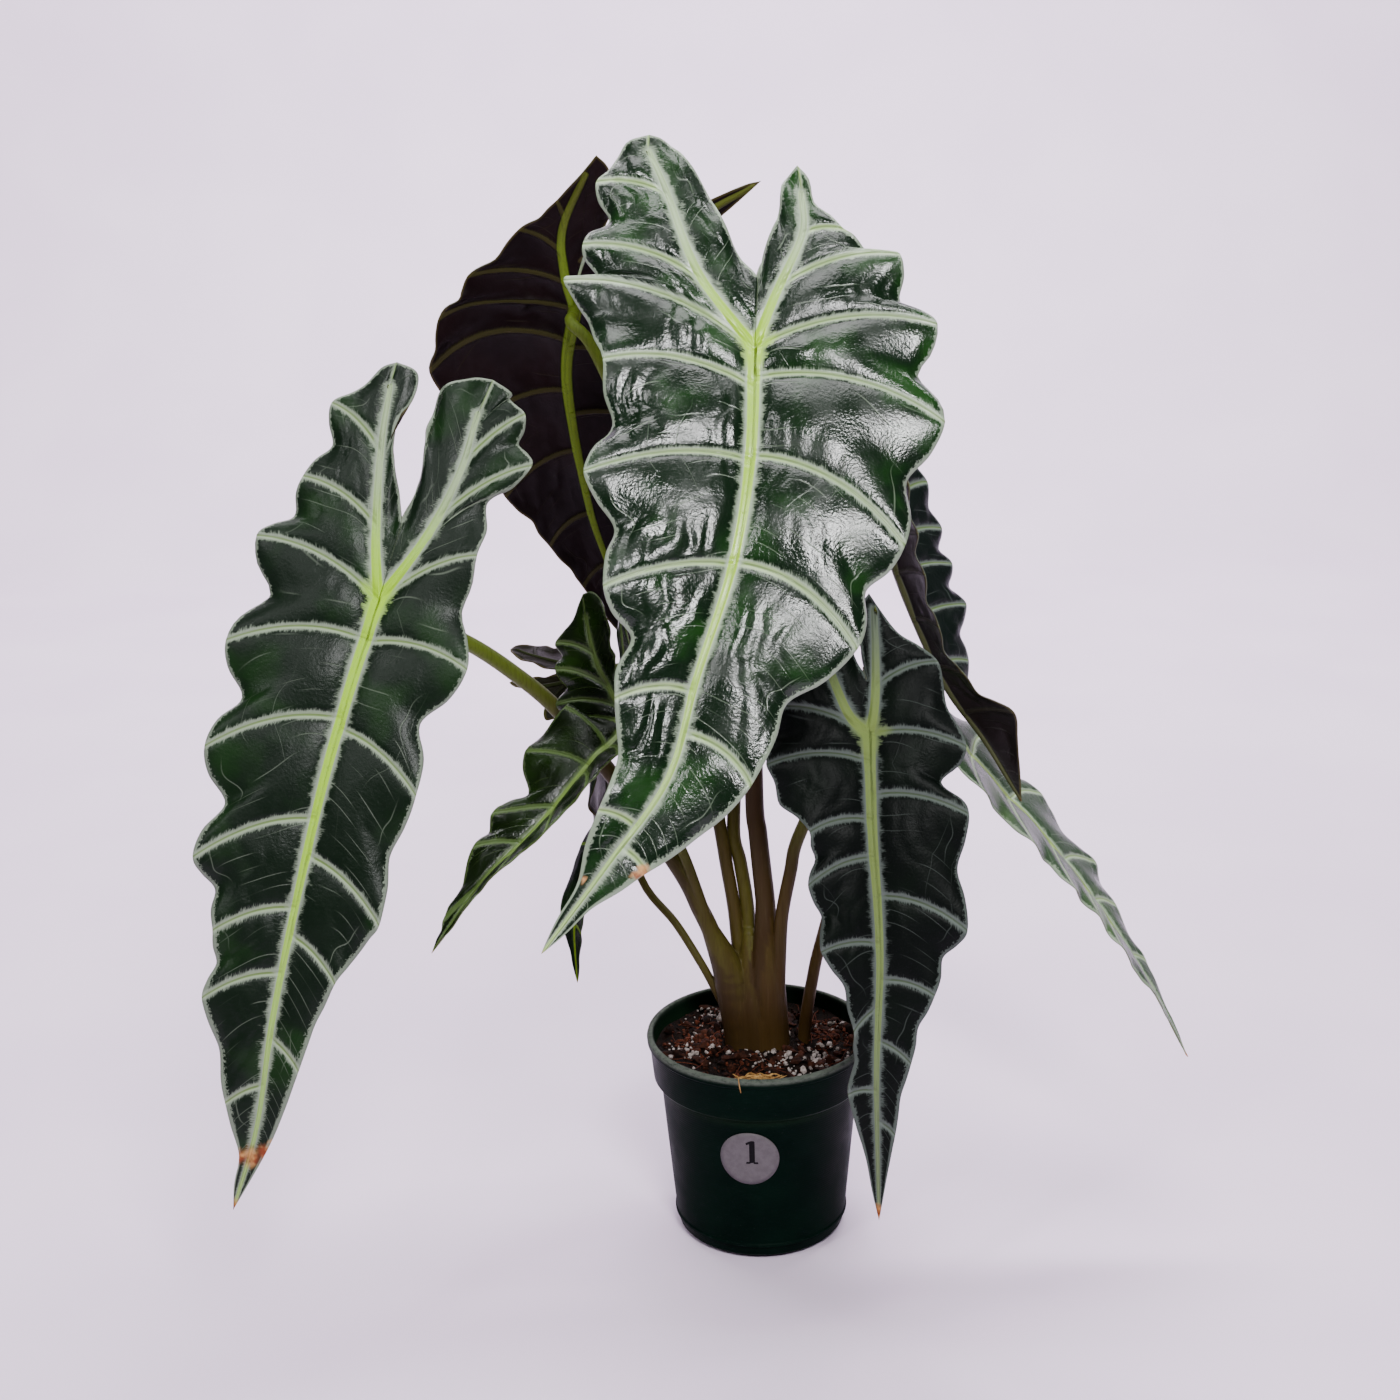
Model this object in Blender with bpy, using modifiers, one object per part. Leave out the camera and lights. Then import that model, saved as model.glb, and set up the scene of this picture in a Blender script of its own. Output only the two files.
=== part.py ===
"""Potted polly alocasia: eight waved arrow-shaped leaves on long stems, in a round nursery pot.

Lengths in the tables are millimetres. The pot stands on the ground at the origin, its front is -Y
and +Z is up. A leaf is drawn flat, across and along its midrib from the junction with the stem,
and then laid on a midrib that hangs in space.
"""
import math
import random
from collections import namedtuple

import bmesh
import bpy
import numpy as np

MM = 0.001
GAP = 0.3                      # clearance between neighbouring pieces
BLADE_THICK = 0.8
BLADE_PITCH = 16               # longest step between the rows of a blade
BLADE_COLS = 3                 # columns from the midrib to the margin
MIDRIB_STEPS = 12              # steps of a midrib between two of its points
VEIN_BOW = 0.12                # how far a vein bows towards the lobes, of its length
PANEL_RISE = 0.035             # rise of the blade between two veins, of the rib's length
DROOP_REACH = 50               # distance from the midrib at which a blade's droop is given
WAVE_RIB = 40                  # length of the shortest rib whose end waves fully
SHOULDER = 0.25                # how far the margin bulges beside a notch, of the notch's depth
STEM_FLARE = 14.0              # straight end of a stem behind its leaf
END_TILT = 0.08                # more clearance of its end for the blade's bend, of its radius
SHARP = 35                     # degrees between faces that stay a sharp edge

POT_HEIGHT = 99.0
RIM_RADIUS = 54.0
FOOT_RADIUS = 40.4
POT_STEPS = 44
FLOOR_TOP = 2.2
POT_OUTER = [(RIM_RADIUS - 1.4, POT_HEIGHT), (RIM_RADIUS - 0.3, POT_HEIGHT - 0.5),
             (RIM_RADIUS, POT_HEIGHT - 1.6), (RIM_RADIUS - 0.2, 95.2), (RIM_RADIUS - 1.3, 94.2),
             (51.1, 77.6), (50.4, 76.6), (47.8, 76.3), (41.7, 7.2), (42.2, 6.6), (42.2, 5.4),
             (40.8, 4.8), (FOOT_RADIUS, 0.4), (FOOT_RADIUS - 0.4, 0.0)]
WALL_TOP, WALL_FOOT = POT_OUTER[7:9]
POT_INNER = [(39.0, FLOOR_TOP), (40.2, 8.0), (46.1, 75.4), (49.6, 79.2), (50.6, 94.0),
             (51.0, 98.4), (51.6, POT_HEIGHT)]
DRAIN_COUNT = 6
DRAIN_RADIUS = 3.6
DRAIN_RING = 32.0

SOIL_TOP = 91.0
SOIL_WALL = [(50.0, SOIL_TOP), (49.0, 80.0), (45.4, 75.8), (39.6, 8.0), (38.4, FLOOR_TOP + GAP)]
SOIL_RINGS = 9
SOIL_STEPS = 40
SOIL_RELIEF = 1.3
GRAIN_COUNT = 26
GRAIN_RADIUS = (1.6, 3.0)
GRAIN_REACH = (24.0, 45.0)     # nearest and furthest grain from the pot's axis
HOLE_CLEAR = 0.5               # clearance of the trunk and the lone stem in their holes
SOIL_SEED = 11

CROWN_HALF = (16.8, 11.0)      # half width and half depth of the trunk in the soil
CROWN_Z = (60.0, 90.0)
STEM_H_FOOT = (21.8, 1.0)
STEM_H_RADIUS = 3.1

LABEL_RADIUS = 14.0
LABEL_HEIGHT = 55.0
LABEL_TURN = -8.0              # degrees round the pot from its front
LABEL_THICK = 0.4

POT_COLOUR = (0.006, 0.028, 0.022)
SOIL_COLOUR = (0.030, 0.014, 0.010)
STEM_COLOUR = (0.090, 0.075, 0.025)
LABEL_COLOUR = (0.55, 0.53, 0.56)

# Outlines of the three leaves seen in full. A rib is a vein's (station, across, along, notch): its
# start along the costa (below 0) or midrib (above 0), its end, and the notch of the margin after it.
# "tip" is the margin beside the end of the lobe, and "inner" its margin from there to the sinus.
OUTLINE_A = {
    "length": 265, "sinus": 31,
    "left": {
        "costa": [(24, -31), (39, -68), (47, -86)],
        "ribs": [(-98, 47, -93, -3), (-77, 68, -70, 8), (-36, 72, -41, 11), (0, 79, -25, 2),
                 (17, 61, 9, 7), (49, 65, 65, 7), (93, 46, 119, 9), (146, 29, 156, 1),
                 (204, 16, 208, 3), (265, 0, 265, 0)],
        "tip": (56, -90),
        "inner": [(39, -90), (28, -78), (18, -61), (9, -43)]},
    "right": {
        "costa": [(8, -24), (18, -51), (17, -70)],
        "ribs": [(-72, 15, -82, 3), (-54, 35, -53, 3), (-29, 58, -42, 8), (0, 74, -12, 9),
                 (13, 77, 31, 8), (47, 65, 75, 7), (92, 56, 111, 7), (163, 31, 174, 1),
                 (214, 14, 216, 2), (265, 0, 265, 0)],
        "tip": (20, -76),
        "inner": [(9, -74), (8, -61), (3, -45)]},
}
OUTLINE_B = {
    "length": 260, "sinus": 34,
    "left": {
        "costa": [(9, -26), (18, -62), (22, -88)],
        "ribs": [(-96, 22, -98, 0), (-66, 43, -74, 6), (-33, 45, -41, 6), (0, 56, -12, 11),
                 (17, 54, 33, 10), (51, 50, 75, 10), (93, 44, 118, 4), (130, 30, 145, 3),
                 (157, 29, 172, 2), (204, 14, 213, 3), (260, 0, 260, 0)],
        "tip": (28, -94),
        "inner": [(13, -96), (11, -84), (15, -72), (9, -54)]},
    "right": {
        "costa": [(11, -28), (17, -58), (17, -86)],
        "ribs": [(-92, 19, -101, 0), (-70, 37, -90, 5), (-43, 46, -70, 9), (0, 35, -28, 5),
                 (18, 45, 18, 10), (55, 39, 74, 4), (108, 36, 129, 0), (141, 23, 156, 1),
                 (184, 14, 195, 0), (260, 0, 260, 0)],
        "tip": (28, -98),
        "inner": [(9, -100), (-1, -92), (-2, -78), (1, -55)]},
}
OUTLINE_F = {
    "length": 220, "sinus": 24,
    "left": {
        "costa": [(9, -9), (17, -30), (22, -52)],
        "ribs": [(-60, 24, -62, 1), (-32, 37, -36, 3), (0, 44, -12, 3), (12, 46, 14, -4),
                 (38, 28, 42, 3), (54, 30, 64, 3), (92, 26, 94, 3), (120, 11, 130, 2),
                 (158, 13, 158, 1), (220, 0, 220, 0)],
        "tip": (29, -56),
        "inner": [(15, -56), (9, -44), (4, -32)]},
    "right": {
        "costa": [(3, -14), (4, -36), (4, -56)],
        "ribs": [(-60, 2, -63, 3), (-23, 31, -31, 2), (0, 42, 7, 11), (27, 42, 37, 4),
                 (71, 38, 87, 4), (108, 24, 113, 2), (135, 15, 144, 1), (172, 8, 178, 0),
                 (220, 0, 220, 0)],
        "tip": (7, -55),
        "inner": [(-2, -57), (-3, -46), (-2, -33)]},
}
# The far lobe of leaf C is rolled to a narrow strip that stands out sideways.
OUTLINE_C = {
    "length": 212, "sinus": 24,
    "left": {
        "costa": [(26, -22), (54, -52), (74, -68)],
        "ribs": [(-100, 77, -71, 0), (-76, 61, -51, 0), (-42, 46, -18, 2), (0, 58, 14, 3),
                 (20, 56, 40, 5), (56, 48, 74, 4), (100, 36, 112, 3), (150, 18, 160, 1),
                 (212, 0, 212, 0)],
        "inner": [(68, -67), (50, -55), (20, -34)]},
    "right": {
        "costa": [(6, -16), (9, -38), (1, -66)],
        "ribs": [(-72, -3, -75, 0), (-46, 13, -51, 1), (-30, 29, -34, 2), (-14, 51, -7, 3),
                 (0, 62, 20, 2), (17, 66, 37, 4), (43, 51, 63, 3), (75, 41, 98, 4),
                 (110, 26, 126, 2), (140, 17, 152, 1), (212, 0, 212, 0)],
        "inner": [(-10, -68), (-12, -50), (-8, -36)]},
}
# Leaf D has one large lobe of its margin half way down.
OUTLINE_D = {
    "length": 266, "sinus": 34,
    "left": {
        "costa": [(12, -32), (24, -68), (28, -104)],
        "ribs": [(-120, 28, -124, 2), (-80, 60, -84, 4), (-44, 62, -60, 8), (-20, 66, -30, 2),
                 (0, 66, -4, 4), (28, 54, 28, 0), (52, 54, 74, 18), (100, 38, 142, 4),
                 (144, 28, 174, 4), (196, 8, 236, 0), (266, 0, 266, 0)],
        "inner": [(18, -124), (8, -104), (6, -76), (3, -52)]},
    "right": {
        "costa": [(10, -28), (18, -60), (20, -88)],
        "ribs": [(-100, 24, -102, 2), (-60, 40, -60, 4), (-24, 48, -24, 6), (0, 48, 8, 6),
                 (28, 44, 40, 6), (60, 40, 76, 6), (104, 32, 128, 6), (152, 22, 180, 4),
                 (200, 10, 224, 0), (266, 0, 266, 0)],
        "inner": [(12, -100), (4, -78), (2, -54)]},
}
# The near half of leaf G stands up and hides the midrib, and widens to a flap close to the tip.
OUTLINE_G = {
    "length": 170, "sinus": 18,
    "left": {
        "costa": [(6, -12), (12, -28), (16, -44)],
        "ribs": [(-50, 17, -50, 1), (-26, 25, -26, 2), (0, 27, -2, 2), (18, 22, 24, 3),
                 (46, 17, 54, 3), (76, 15, 86, 2), (108, 20, 124, 0), (170, 0, 170, 0)],
        "inner": [(10, -46), (6, -36), (3, -26)]},
    "right": {
        "costa": [(6, -12), (10, -28), (14, -44)],
        "ribs": [(-50, 16, -50, 1), (-24, 29, -26, 2), (0, 34, -2, 3), (18, 34, 22, 4),
                 (46, 33, 52, 4), (76, 22, 84, 2), (108, 12, 116, 1), (170, 0, 170, 0)],
        "inner": [(9, -45), (5, -36), (2, -26)]},
}

# Each leaf: its outline and the lobes' and halves' size against it; the midrib's way in space, whose
# first point lies between the lobes, second is the junction and last is the tip; where the upper face
# looks, from the lobes to the tip; the degrees that the left and the right half rise from the midrib,
# and that they have drooped again 50 mm out; and the height of the margin's waves.
Leaf = namedtuple("Leaf", "outline size midrib looks fold droop wave")
LEAVES = {
    "A": Leaf(OUTLINE_A, 1.0,
              [(3, -34, 473), (0, -60, 432), (-3, -86, 391), (-11, -108, 353), (-26, -127, 313),
               (-38, -143, 277), (-62, -157, 247), (-88, -170, 216)],
              [(0, -1, 0.4), (0, -1, 0.2)], (8, 8), (10, 10), 3.0),
    "B": Leaf(OUTLINE_B, 1.0,
              [(-144, -64, 370), (-156, -80, 335), (-168, -96, 300), (-179, -111, 264),
               (-191, -127, 217), (-201, -139, 174), (-209, -147, 132), (-221, -150, 96)],
              [(-0.1, -1, 0.35), (0, -1, 0.2)], (8, 8), (12, 12), 2.6),
    "C": Leaf(OUTLINE_C, 1.0,
              [(-74, 47, 470), (-79, 60, 437), (-85, 75, 401), (-78, 95, 339), (-68, 108, 300),
               (-50, 124, 240)],
              [(0.1, 1, 0.5), (0.0, 1, 0.3)], (12, 6), (8, 8), 2.4),
    "D": Leaf(OUTLINE_D, 0.5,
              [(-61, -12, 290), (-59, -25, 262), (-73, -38, 250), (-97, -56, 226), (-120, -70, 207),
               (-143, -84, 179)],
              [(-0.5, -1, 0.3), (-0.5, -1, 0.5), (-0.6, -1, 0.6)], (6, 48), (6, 12), 2.8),
    "E": Leaf(OUTLINE_A, 0.54,
              [(-119, 60, 265), (-73, 56, 257), (-72, 62, 220), (-76, 70, 175), (-91, 76, 132),
               (-92, 78, 88)],
              [(-0.1, 0.3, -0.9), (-0.8, 0.1, -0.6), (-1, -0.1, 0), (-0.1, -1, 0)],
              (14, 14), (8, 8), 2.2),
    "F": Leaf(OUTLINE_F, 1.0,
              [(49, -22, 298), (49, -40, 260), (49, -58, 222), (51, -75, 171), (49, -85, 116),
               (50, -90, 48)],
              [(0, -1, 0.35), (0, -1, 0.1)], (10, 10), (12, 12), 2.8),
    "G": Leaf(OUTLINE_G, 1.0,
              [(60, 34, 359), (64, 28, 330), (73, 20, 302), (89, 12, 266), (106, 4, 242),
               (123, -4, 214)],
              [(0.8, -0.5, 0.45), (0.8, -0.5, 0.45), (0.7, 0.5, 0.3)], (60, 20), (6, 8), 1.4),
    "H": Leaf(OUTLINE_B, 0.68,
              [(70, 27, 248), (94, 22, 238), (116, 15, 214), (132, 12, 197), (159, 5, 163),
               (186, -6, 122), (204, -15, 87)],
              [(0.8, -0.15, 0.6), (0.8, -0.15, 0.6)], (5, 10), (14, 4), 2.4),
}
BLADE_COLOUR = {"A": (0.012, 0.045, 0.020), "B": (0.012, 0.040, 0.020), "C": (0.028, 0.014, 0.016),
                "D": (0.025, 0.080, 0.015), "E": (0.020, 0.035, 0.015), "F": (0.010, 0.026, 0.018),
                "G": (0.016, 0.030, 0.020), "H": (0.060, 0.120, 0.060)}

# Stems: the points from the soil towards the leaf, and the radii at the foot and at the leaf.
STEMS = {
    "A": ([(8, -1, 84), (7, -1, 120), (5, 0, 140), (4, 0, 163), (2.3, 1, 182), (0.8, 2, 199),
           (-0.6, 4, 217), (0, 8, 290), (1, 2, 350), (1, -18, 396), (0, -36, 416)], (5.3, 2.7)),
    "B": ([(-9, -1, 84), (-13, -2, 120), (-21.3, -2, 149), (-27.2, -1, 163), (-36, 0, 182),
           (-62, 3, 222), (-89, 1, 260), (-110, -13, 285), (-128, -34, 305), (-146, -56, 320)],
          (4.6, 3.1)),
    "C": ([(-7, 0, 84), (-8, 3, 120), (-9.9, 5, 149), (-11.3, 6, 163), (-14.2, 7, 182),
           (-16.7, 9, 199), (-25, 20, 250), (-38, 34, 320), (-54, 42, 380), (-70, 44, 420)],
          (3.3, 2.8)),
    "D": ([(-7, -2, 84), (-14, -2, 128), (-22, -3, 152), (-28, -3, 172), (-34, -4, 191),
           (-43, -7, 214), (-50, -9, 236)], (2.8, 2.2)),
    "E": ([(-10, 1, 84), (-15, 1, 106), (-21, 1, 121), (-28, 4, 134), (-39, 12, 150), (-55, 24, 168),
           (-62, 38, 200), (-58, 50, 238), (-51, 54, 259)], (2.1, 1.8)),
    "F": ([(9, -2, 84), (9.5, -4, 120), (10.6, -5, 149), (11.9, -5, 163), (15.6, -5, 182),
           (19.2, -6, 199), (34, -13, 234), (44, -22, 248)], (3.4, 2.8)),
    "G": ([(0, 3, 84), (-2.5, 5, 120), (-4, 6, 149), (-4.8, 7, 163), (-7.6, 9, 182),
           (-10.4, 11, 199), (-6, 18, 240), (10, 28, 280), (32, 36, 308), (46, 40, 320)],
          (3.6, 2.7)),
    "H": ([(*STEM_H_FOOT, 62), (*STEM_H_FOOT, 92), (22.8, 1, 104), (25.8, 1, 123), (30, 4, 141),
           (42, 11, 178), (60, 18, 208), (76, 24, 224)], (STEM_H_RADIUS, 2.4)),
}
# The swollen sheaths round the foot of the trunk and its core: points and radii.
SHEATHS = [([(-8, 0, 72), (-8.5, 0, 96), (-10.2, 0, 112), (-12.8, 0, 125), (-15.6, -1, 135),
             (-24, -2, 156)], (8.2, 8.2, 8.8, 8.4, 7.0, 3.6)),
           ([(7, -1, 72), (6.5, -1, 96), (5.2, -1, 112), (4.2, -1, 125), (4, -1, 136), (4, 0, 152),
             (3.6, 0, 168)], (8.2, 8.2, 8.6, 8.6, 7.4, 5.4, 4.4)),
           ([(-1, -1.5, 72), (-1.5, -1.5, 100), (-3, -1, 118), (-4, 1, 134), (-4.2, 4, 150)],
            (8.0, 8.0, 7.4, 5.6, 3.8))]


def smooth_path(points, steps):
    """A curve through the points, with the given number of steps in each span."""
    p = np.array(points, float)
    p = np.vstack([2 * p[0] - p[1], p, 2 * p[-1] - p[-2]])
    t = np.arange(steps)[:, None] / steps
    spans = [0.5 * (2 * b + (c - a) * t + (2 * a - 5 * b + 4 * c - d) * t ** 2
                    + (3 * b - a - 3 * c + d) * t ** 3)
             for a, b, c, d in zip(p, p[1:], p[2:], p[3:])]
    return np.vstack(spans + [p[-2:-1]])


def lengths(path):
    """The distance of each point from the first, along the path."""
    return np.concatenate([[0], np.cumsum(np.linalg.norm(np.diff(path, axis=0), axis=1))])


def read_at(values, places, at):
    """The rows of values, which belong to the places, read between them at others."""
    return np.stack([np.interp(at, places, values[:, k]) for k in range(values.shape[1])], -1)


def unit(vectors):
    """The vectors at length 1."""
    return vectors / np.linalg.norm(vectors, axis=-1, keepdims=True)


def rib_nodes(half):
    """Stations of one half's ribs and of the notches between them, and the margin round them.

    The margin has a shoulder between each rib's end and notch, which rounds the lobes that it makes.
    """
    ribs = np.array(half["ribs"], float)
    stations, margin = [ribs[0][0]], [ribs[0][1:3]]
    for near, far in zip(ribs, ribs[1:]):
        chord = far[1:3] - near[1:3]
        inward = unit(np.array([-chord[1], chord[0]])) * near[3]
        notch = (near[1:3] + far[1:3]) / 2 + inward
        stations += [(near[0] + far[0]) / 2, far[0]]
        margin += [(near[1:3] + notch) / 2 - inward * SHOULDER, notch,
                   (notch + far[1:3]) / 2 - inward * SHOULDER, far[1:3]]
    margin[1] = half.get("tip", margin[1])
    return np.array(stations), margin


def divide(stations, pitch):
    """The stations with others between them, none further apart than the pitch."""
    kept = [stations[0]]
    for station in stations[1:]:
        if station - kept[-1] > 1.5 or station == stations[-1]:
            kept.append(station)
    spans = [np.linspace(a, b, math.ceil((b - a) / pitch) + 1)[:-1] for a, b in zip(kept, kept[1:])]
    return np.concatenate(spans + [kept[-1:]])


def half_outline(half, shared, pitch):
    """Rib number, start and end of each row of one half, and how many rows stand on its costa."""
    node, ends = rib_nodes(half)
    lobe = divide(node[node <= 0], pitch)
    station = np.concatenate([lobe, shared[1:]])
    place = np.interp(station, node, np.arange(len(node)))
    curve = smooth_path(ends, 8)
    margin = read_at(curve, np.arange(len(curve)), place * 16)
    costa = smooth_path([(0, 0)] + half["costa"], 8)
    out = read_at(costa, lengths(costa) / lengths(costa)[-1], np.clip(station / node[0], 0, 1))
    start = np.where(station[:, None] < 0, out, np.stack([0 * station, station], -1))
    return place / 2, start, margin, len(lobe)


def flat_leaf(outline, pitch, cols):
    """Points of the flat leaf as across, along, rib number, share of the rib and rib length."""
    points, faces, seen = [], [], {}

    def index(row):
        key = (round(row[0], 2), round(row[1], 2))
        if key not in seen:
            seen[key] = len(points)
            points.append(row)
        return seen[key]

    def strip(place, start, end, bow, side, flip):
        grid = []
        for t, s, e in zip(place, start, end):
            size = float(np.linalg.norm(e - s))
            bend = (s + e) / 2 + np.array([0, -bow * size * min(t, 1)])
            row = []
            for c in range(cols + 1):
                f = c / cols
                u, v = (1 - f) ** 2 * s + 2 * f * (1 - f) * bend + f * f * e
                row.append(index((side * u, v, t, f, size)))
            grid.append(row)
        for a, b in zip(grid, grid[1:]):
            for c in range(cols):
                corners = [a[c], a[c + 1], b[c + 1], b[c]]
                corners = [q for n, q in enumerate(corners) if q not in corners[:n]]
                if len(corners) > 2:
                    faces.append(corners[::-1] if flip else corners)

    nodes = np.concatenate([rib_nodes(outline[name])[0] for name in ("left", "right")])
    shared = divide(np.unique(np.append(nodes[nodes > 0], 0)), pitch)
    for name, side in (("left", -1), ("right", 1)):
        half = outline[name]
        place, start, margin, lobe = half_outline(half, shared, pitch)
        strip(place, start, margin, VEIN_BOW, side, side < 0)
        inner = smooth_path([margin[0]] + half["inner"] + [(0, -outline["sinus"])], 8)
        inside = read_at(inner, lengths(inner) / lengths(inner)[-1], np.linspace(0, 1, lobe))
        strip(place[:lobe], start[:lobe], inside, 0, side, side > 0)
    return np.array(points, float), faces


def frame_at(leaf, along):
    """The midrib's place and its across and upward vectors, at distances from the junction."""
    way = smooth_path(leaf.midrib, MIDRIB_STEPS)
    run = lengths(way) - lengths(way[:MIDRIB_STEPS + 1])[-1]
    direction = unit(read_at(unit(np.gradient(way, run, axis=0)), run, along))
    looks = np.array(leaf.looks, float)
    face = unit(read_at(looks, np.linspace(0, len(way) - 1, len(looks)), np.arange(len(way))))
    over = np.clip(along - run[-1], 0, None) + np.clip(along - run[0], None, 0)
    across = unit(np.cross(read_at(face, run, along), direction))
    return read_at(way, run, along) + direction * over[:, None], across, np.cross(direction, across)


def hang(leaf, flat):
    """The flat leaf's points laid on its midrib, folded, drooped and waved."""
    stretch = lengths(smooth_path(leaf.midrib[1:], MIDRIB_STEPS))[-1] / leaf.outline["length"]
    u, v, t, f, rib = flat.T
    u, v, rib = u * leaf.size, v * np.where(v > 0, stretch, leaf.size), rib * leaf.size
    way, across, up = frame_at(leaf, v)
    side = (u > 0).astype(int)
    fold = np.radians(np.array(leaf.fold, float))[side]
    droop = np.radians(np.array(leaf.droop, float))[side] / DROOP_REACH
    reach = np.abs(u)
    out = (np.sin(fold) - np.sin(fold - droop * reach)) / droop
    rise = (np.cos(fold - droop * reach) - np.cos(fold)) / droop
    wave = leaf.wave * f ** 2 * np.cos(math.tau * t) * np.clip(rib / WAVE_RIB, 0, 1)
    panel = PANEL_RISE * rib * np.sin(math.pi * f) * (1 - np.cos(math.tau * t)) / 2
    return way + across * (np.sign(u) * out)[:, None] + up * (rise + wave + panel)[:, None]


def new_material(name, colour, roughness):
    """A plain material with the part's colour."""
    material = bpy.data.materials.new(name)
    material.use_nodes = True
    shader = material.node_tree.nodes["Principled BSDF"]
    shader.inputs["Base Color"].default_value = (*colour, 1)
    shader.inputs["Roughness"].default_value = roughness
    return material


def new_object(name, mesh, collection, colour=None, roughness=0.5):
    """A smooth body in a collection, with a material if it has a colour."""
    thing = bpy.data.objects.new(name, mesh)
    collection.objects.link(thing)
    mesh.materials.clear()
    if colour:
        mesh.materials.append(new_material(name, colour, roughness))
    mesh.shade_smooth()
    return thing


def take(collection):
    """The primitive that was just added, moved to a collection."""
    thing = bpy.context.object
    bpy.context.collection.objects.unlink(thing)
    collection.objects.link(thing)
    if collection.hide_render:
        thing.display_type = "WIRE"
    return thing


def apply_modifiers(thing):
    """Replace a body's mesh by what its modifiers make of it."""
    bpy.context.view_layer.update()
    evaluated = thing.evaluated_get(bpy.context.evaluated_depsgraph_get())
    mesh = bpy.data.meshes.new_from_object(evaluated)
    old, mesh.name = thing.data, thing.name
    thing.modifiers.clear()
    thing.data = mesh
    bpy.data.meshes.remove(old)


def boolean(thing, others, operation):
    """Join or cut with a collection of bodies, which is then emptied."""
    step = thing.modifiers.new("step", "BOOLEAN")
    step.operation, step.operand_type, step.solver = operation, "COLLECTION", "EXACT"
    step.collection = others
    apply_modifiers(thing)
    for other in list(others.objects):
        bpy.data.objects.remove(other)


def tube(name, points, radii, collection, steps=2, sides=2):
    """A round stem through the points, with radii at its two ends or at every point."""
    path = smooth_path(points, steps)
    run = lengths(path)
    radius = np.interp(run, run[::steps] if len(radii) > 2 else run[[0, -1]], radii)
    curve = bpy.data.curves.new(name, "CURVE")
    curve.dimensions = "3D"
    curve.bevel_depth = MM
    curve.bevel_resolution = sides
    curve.use_fill_caps = True
    line = curve.splines.new("POLY")
    line.points.add(len(path) - 1)
    for point, place, r in zip(line.points, path, radius):
        point.co = (*(place * MM), 1)
        point.radius = float(r)
    thing = bpy.data.objects.new(name, curve)
    collection.objects.link(thing)
    bpy.context.view_layer.update()
    mesh = bpy.data.meshes.new_from_object(thing.evaluated_get(bpy.context.evaluated_depsgraph_get()))
    bpy.data.objects.remove(thing)
    bpy.data.curves.remove(curve)
    body = bmesh.new()
    body.from_mesh(mesh)
    bmesh.ops.remove_doubles(body, verts=body.verts, dist=1e-6)
    bmesh.ops.recalc_face_normals(body, faces=body.faces)
    body.to_mesh(mesh)
    body.free()
    return new_object(name, mesh, collection)


def lathe(name, profile, collection, colour, roughness):
    """A body turned about the upright axis from its outline."""
    mesh = bpy.data.meshes.new(name)
    verts = [(r * MM, 0, z * MM) for r, z in profile]
    mesh.from_pydata(verts, [(n, n + 1) for n in range(len(verts) - 1)], [])
    thing = new_object(name, mesh, collection, colour, roughness)
    turn = thing.modifiers.new("turn", "SCREW")
    turn.steps = turn.render_steps = POT_STEPS
    turn.use_merge_vertices = True
    turn.merge_threshold = 0.00001
    turn.use_smooth_shade = True
    apply_modifiers(thing)
    return thing


def build_pot(parts, cutters):
    """A turned pot with a lipped collar, a ridge near its foot and holes in its floor."""
    profile = [(0, FLOOR_TOP)] + POT_INNER + POT_OUTER + [(0, 0)]
    pot = lathe("pot", profile, parts, POT_COLOUR, 0.35)
    for n in range(DRAIN_COUNT):
        turn = math.tau * (n + 0.5) / DRAIN_COUNT
        bpy.ops.mesh.primitive_cylinder_add(
            vertices=12, radius=DRAIN_RADIUS * MM, depth=4 * FLOOR_TOP * MM,
            location=(DRAIN_RING * MM * math.cos(turn), DRAIN_RING * MM * math.sin(turn), 0))
        take(cutters)
    boolean(pot, cutters, "DIFFERENCE")
    pot.data.set_sharp_from_angle(angle=math.radians(SHARP))


def build_label(parts):
    """A thin disc bent round the front wall, a little clear of it."""
    flare = (WALL_TOP[0] - WALL_FOOT[0]) / (WALL_TOP[1] - WALL_FOOT[1])
    bpy.ops.mesh.primitive_circle_add(vertices=32, radius=LABEL_RADIUS, fill_type="NGON")
    label = take(parts)
    label.name = "number_label"
    body = bmesh.new()
    body.from_mesh(label.data)
    bmesh.ops.inset_individual(body, faces=body.faces, thickness=LABEL_RADIUS * 0.5)
    bmesh.ops.triangulate(body, faces=body.faces)
    for vert in body.verts:
        z = LABEL_HEIGHT + vert.co.y
        radius = WALL_FOOT[0] + flare * (z - WALL_FOOT[1]) + GAP
        turn = math.radians(LABEL_TURN - 90) + vert.co.x / radius
        vert.co = (radius * MM * math.cos(turn), radius * MM * math.sin(turn), z * MM)
    bmesh.ops.recalc_face_normals(body, faces=body.faces)
    body.faces.ensure_lookup_table()
    if body.faces[0].normal.y > 0:
        bmesh.ops.reverse_faces(body, faces=body.faces)
    body.to_mesh(label.data)
    body.free()
    solid = label.modifiers.new("solid", "SOLIDIFY")
    solid.thickness, solid.offset = LABEL_THICK * MM, 1
    apply_modifiers(label)
    label.data.materials.append(new_material("number_label", LABEL_COLOUR, 0.55))
    label.data.shade_smooth()
    label.data.set_sharp_from_angle(angle=math.radians(SHARP))


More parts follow.
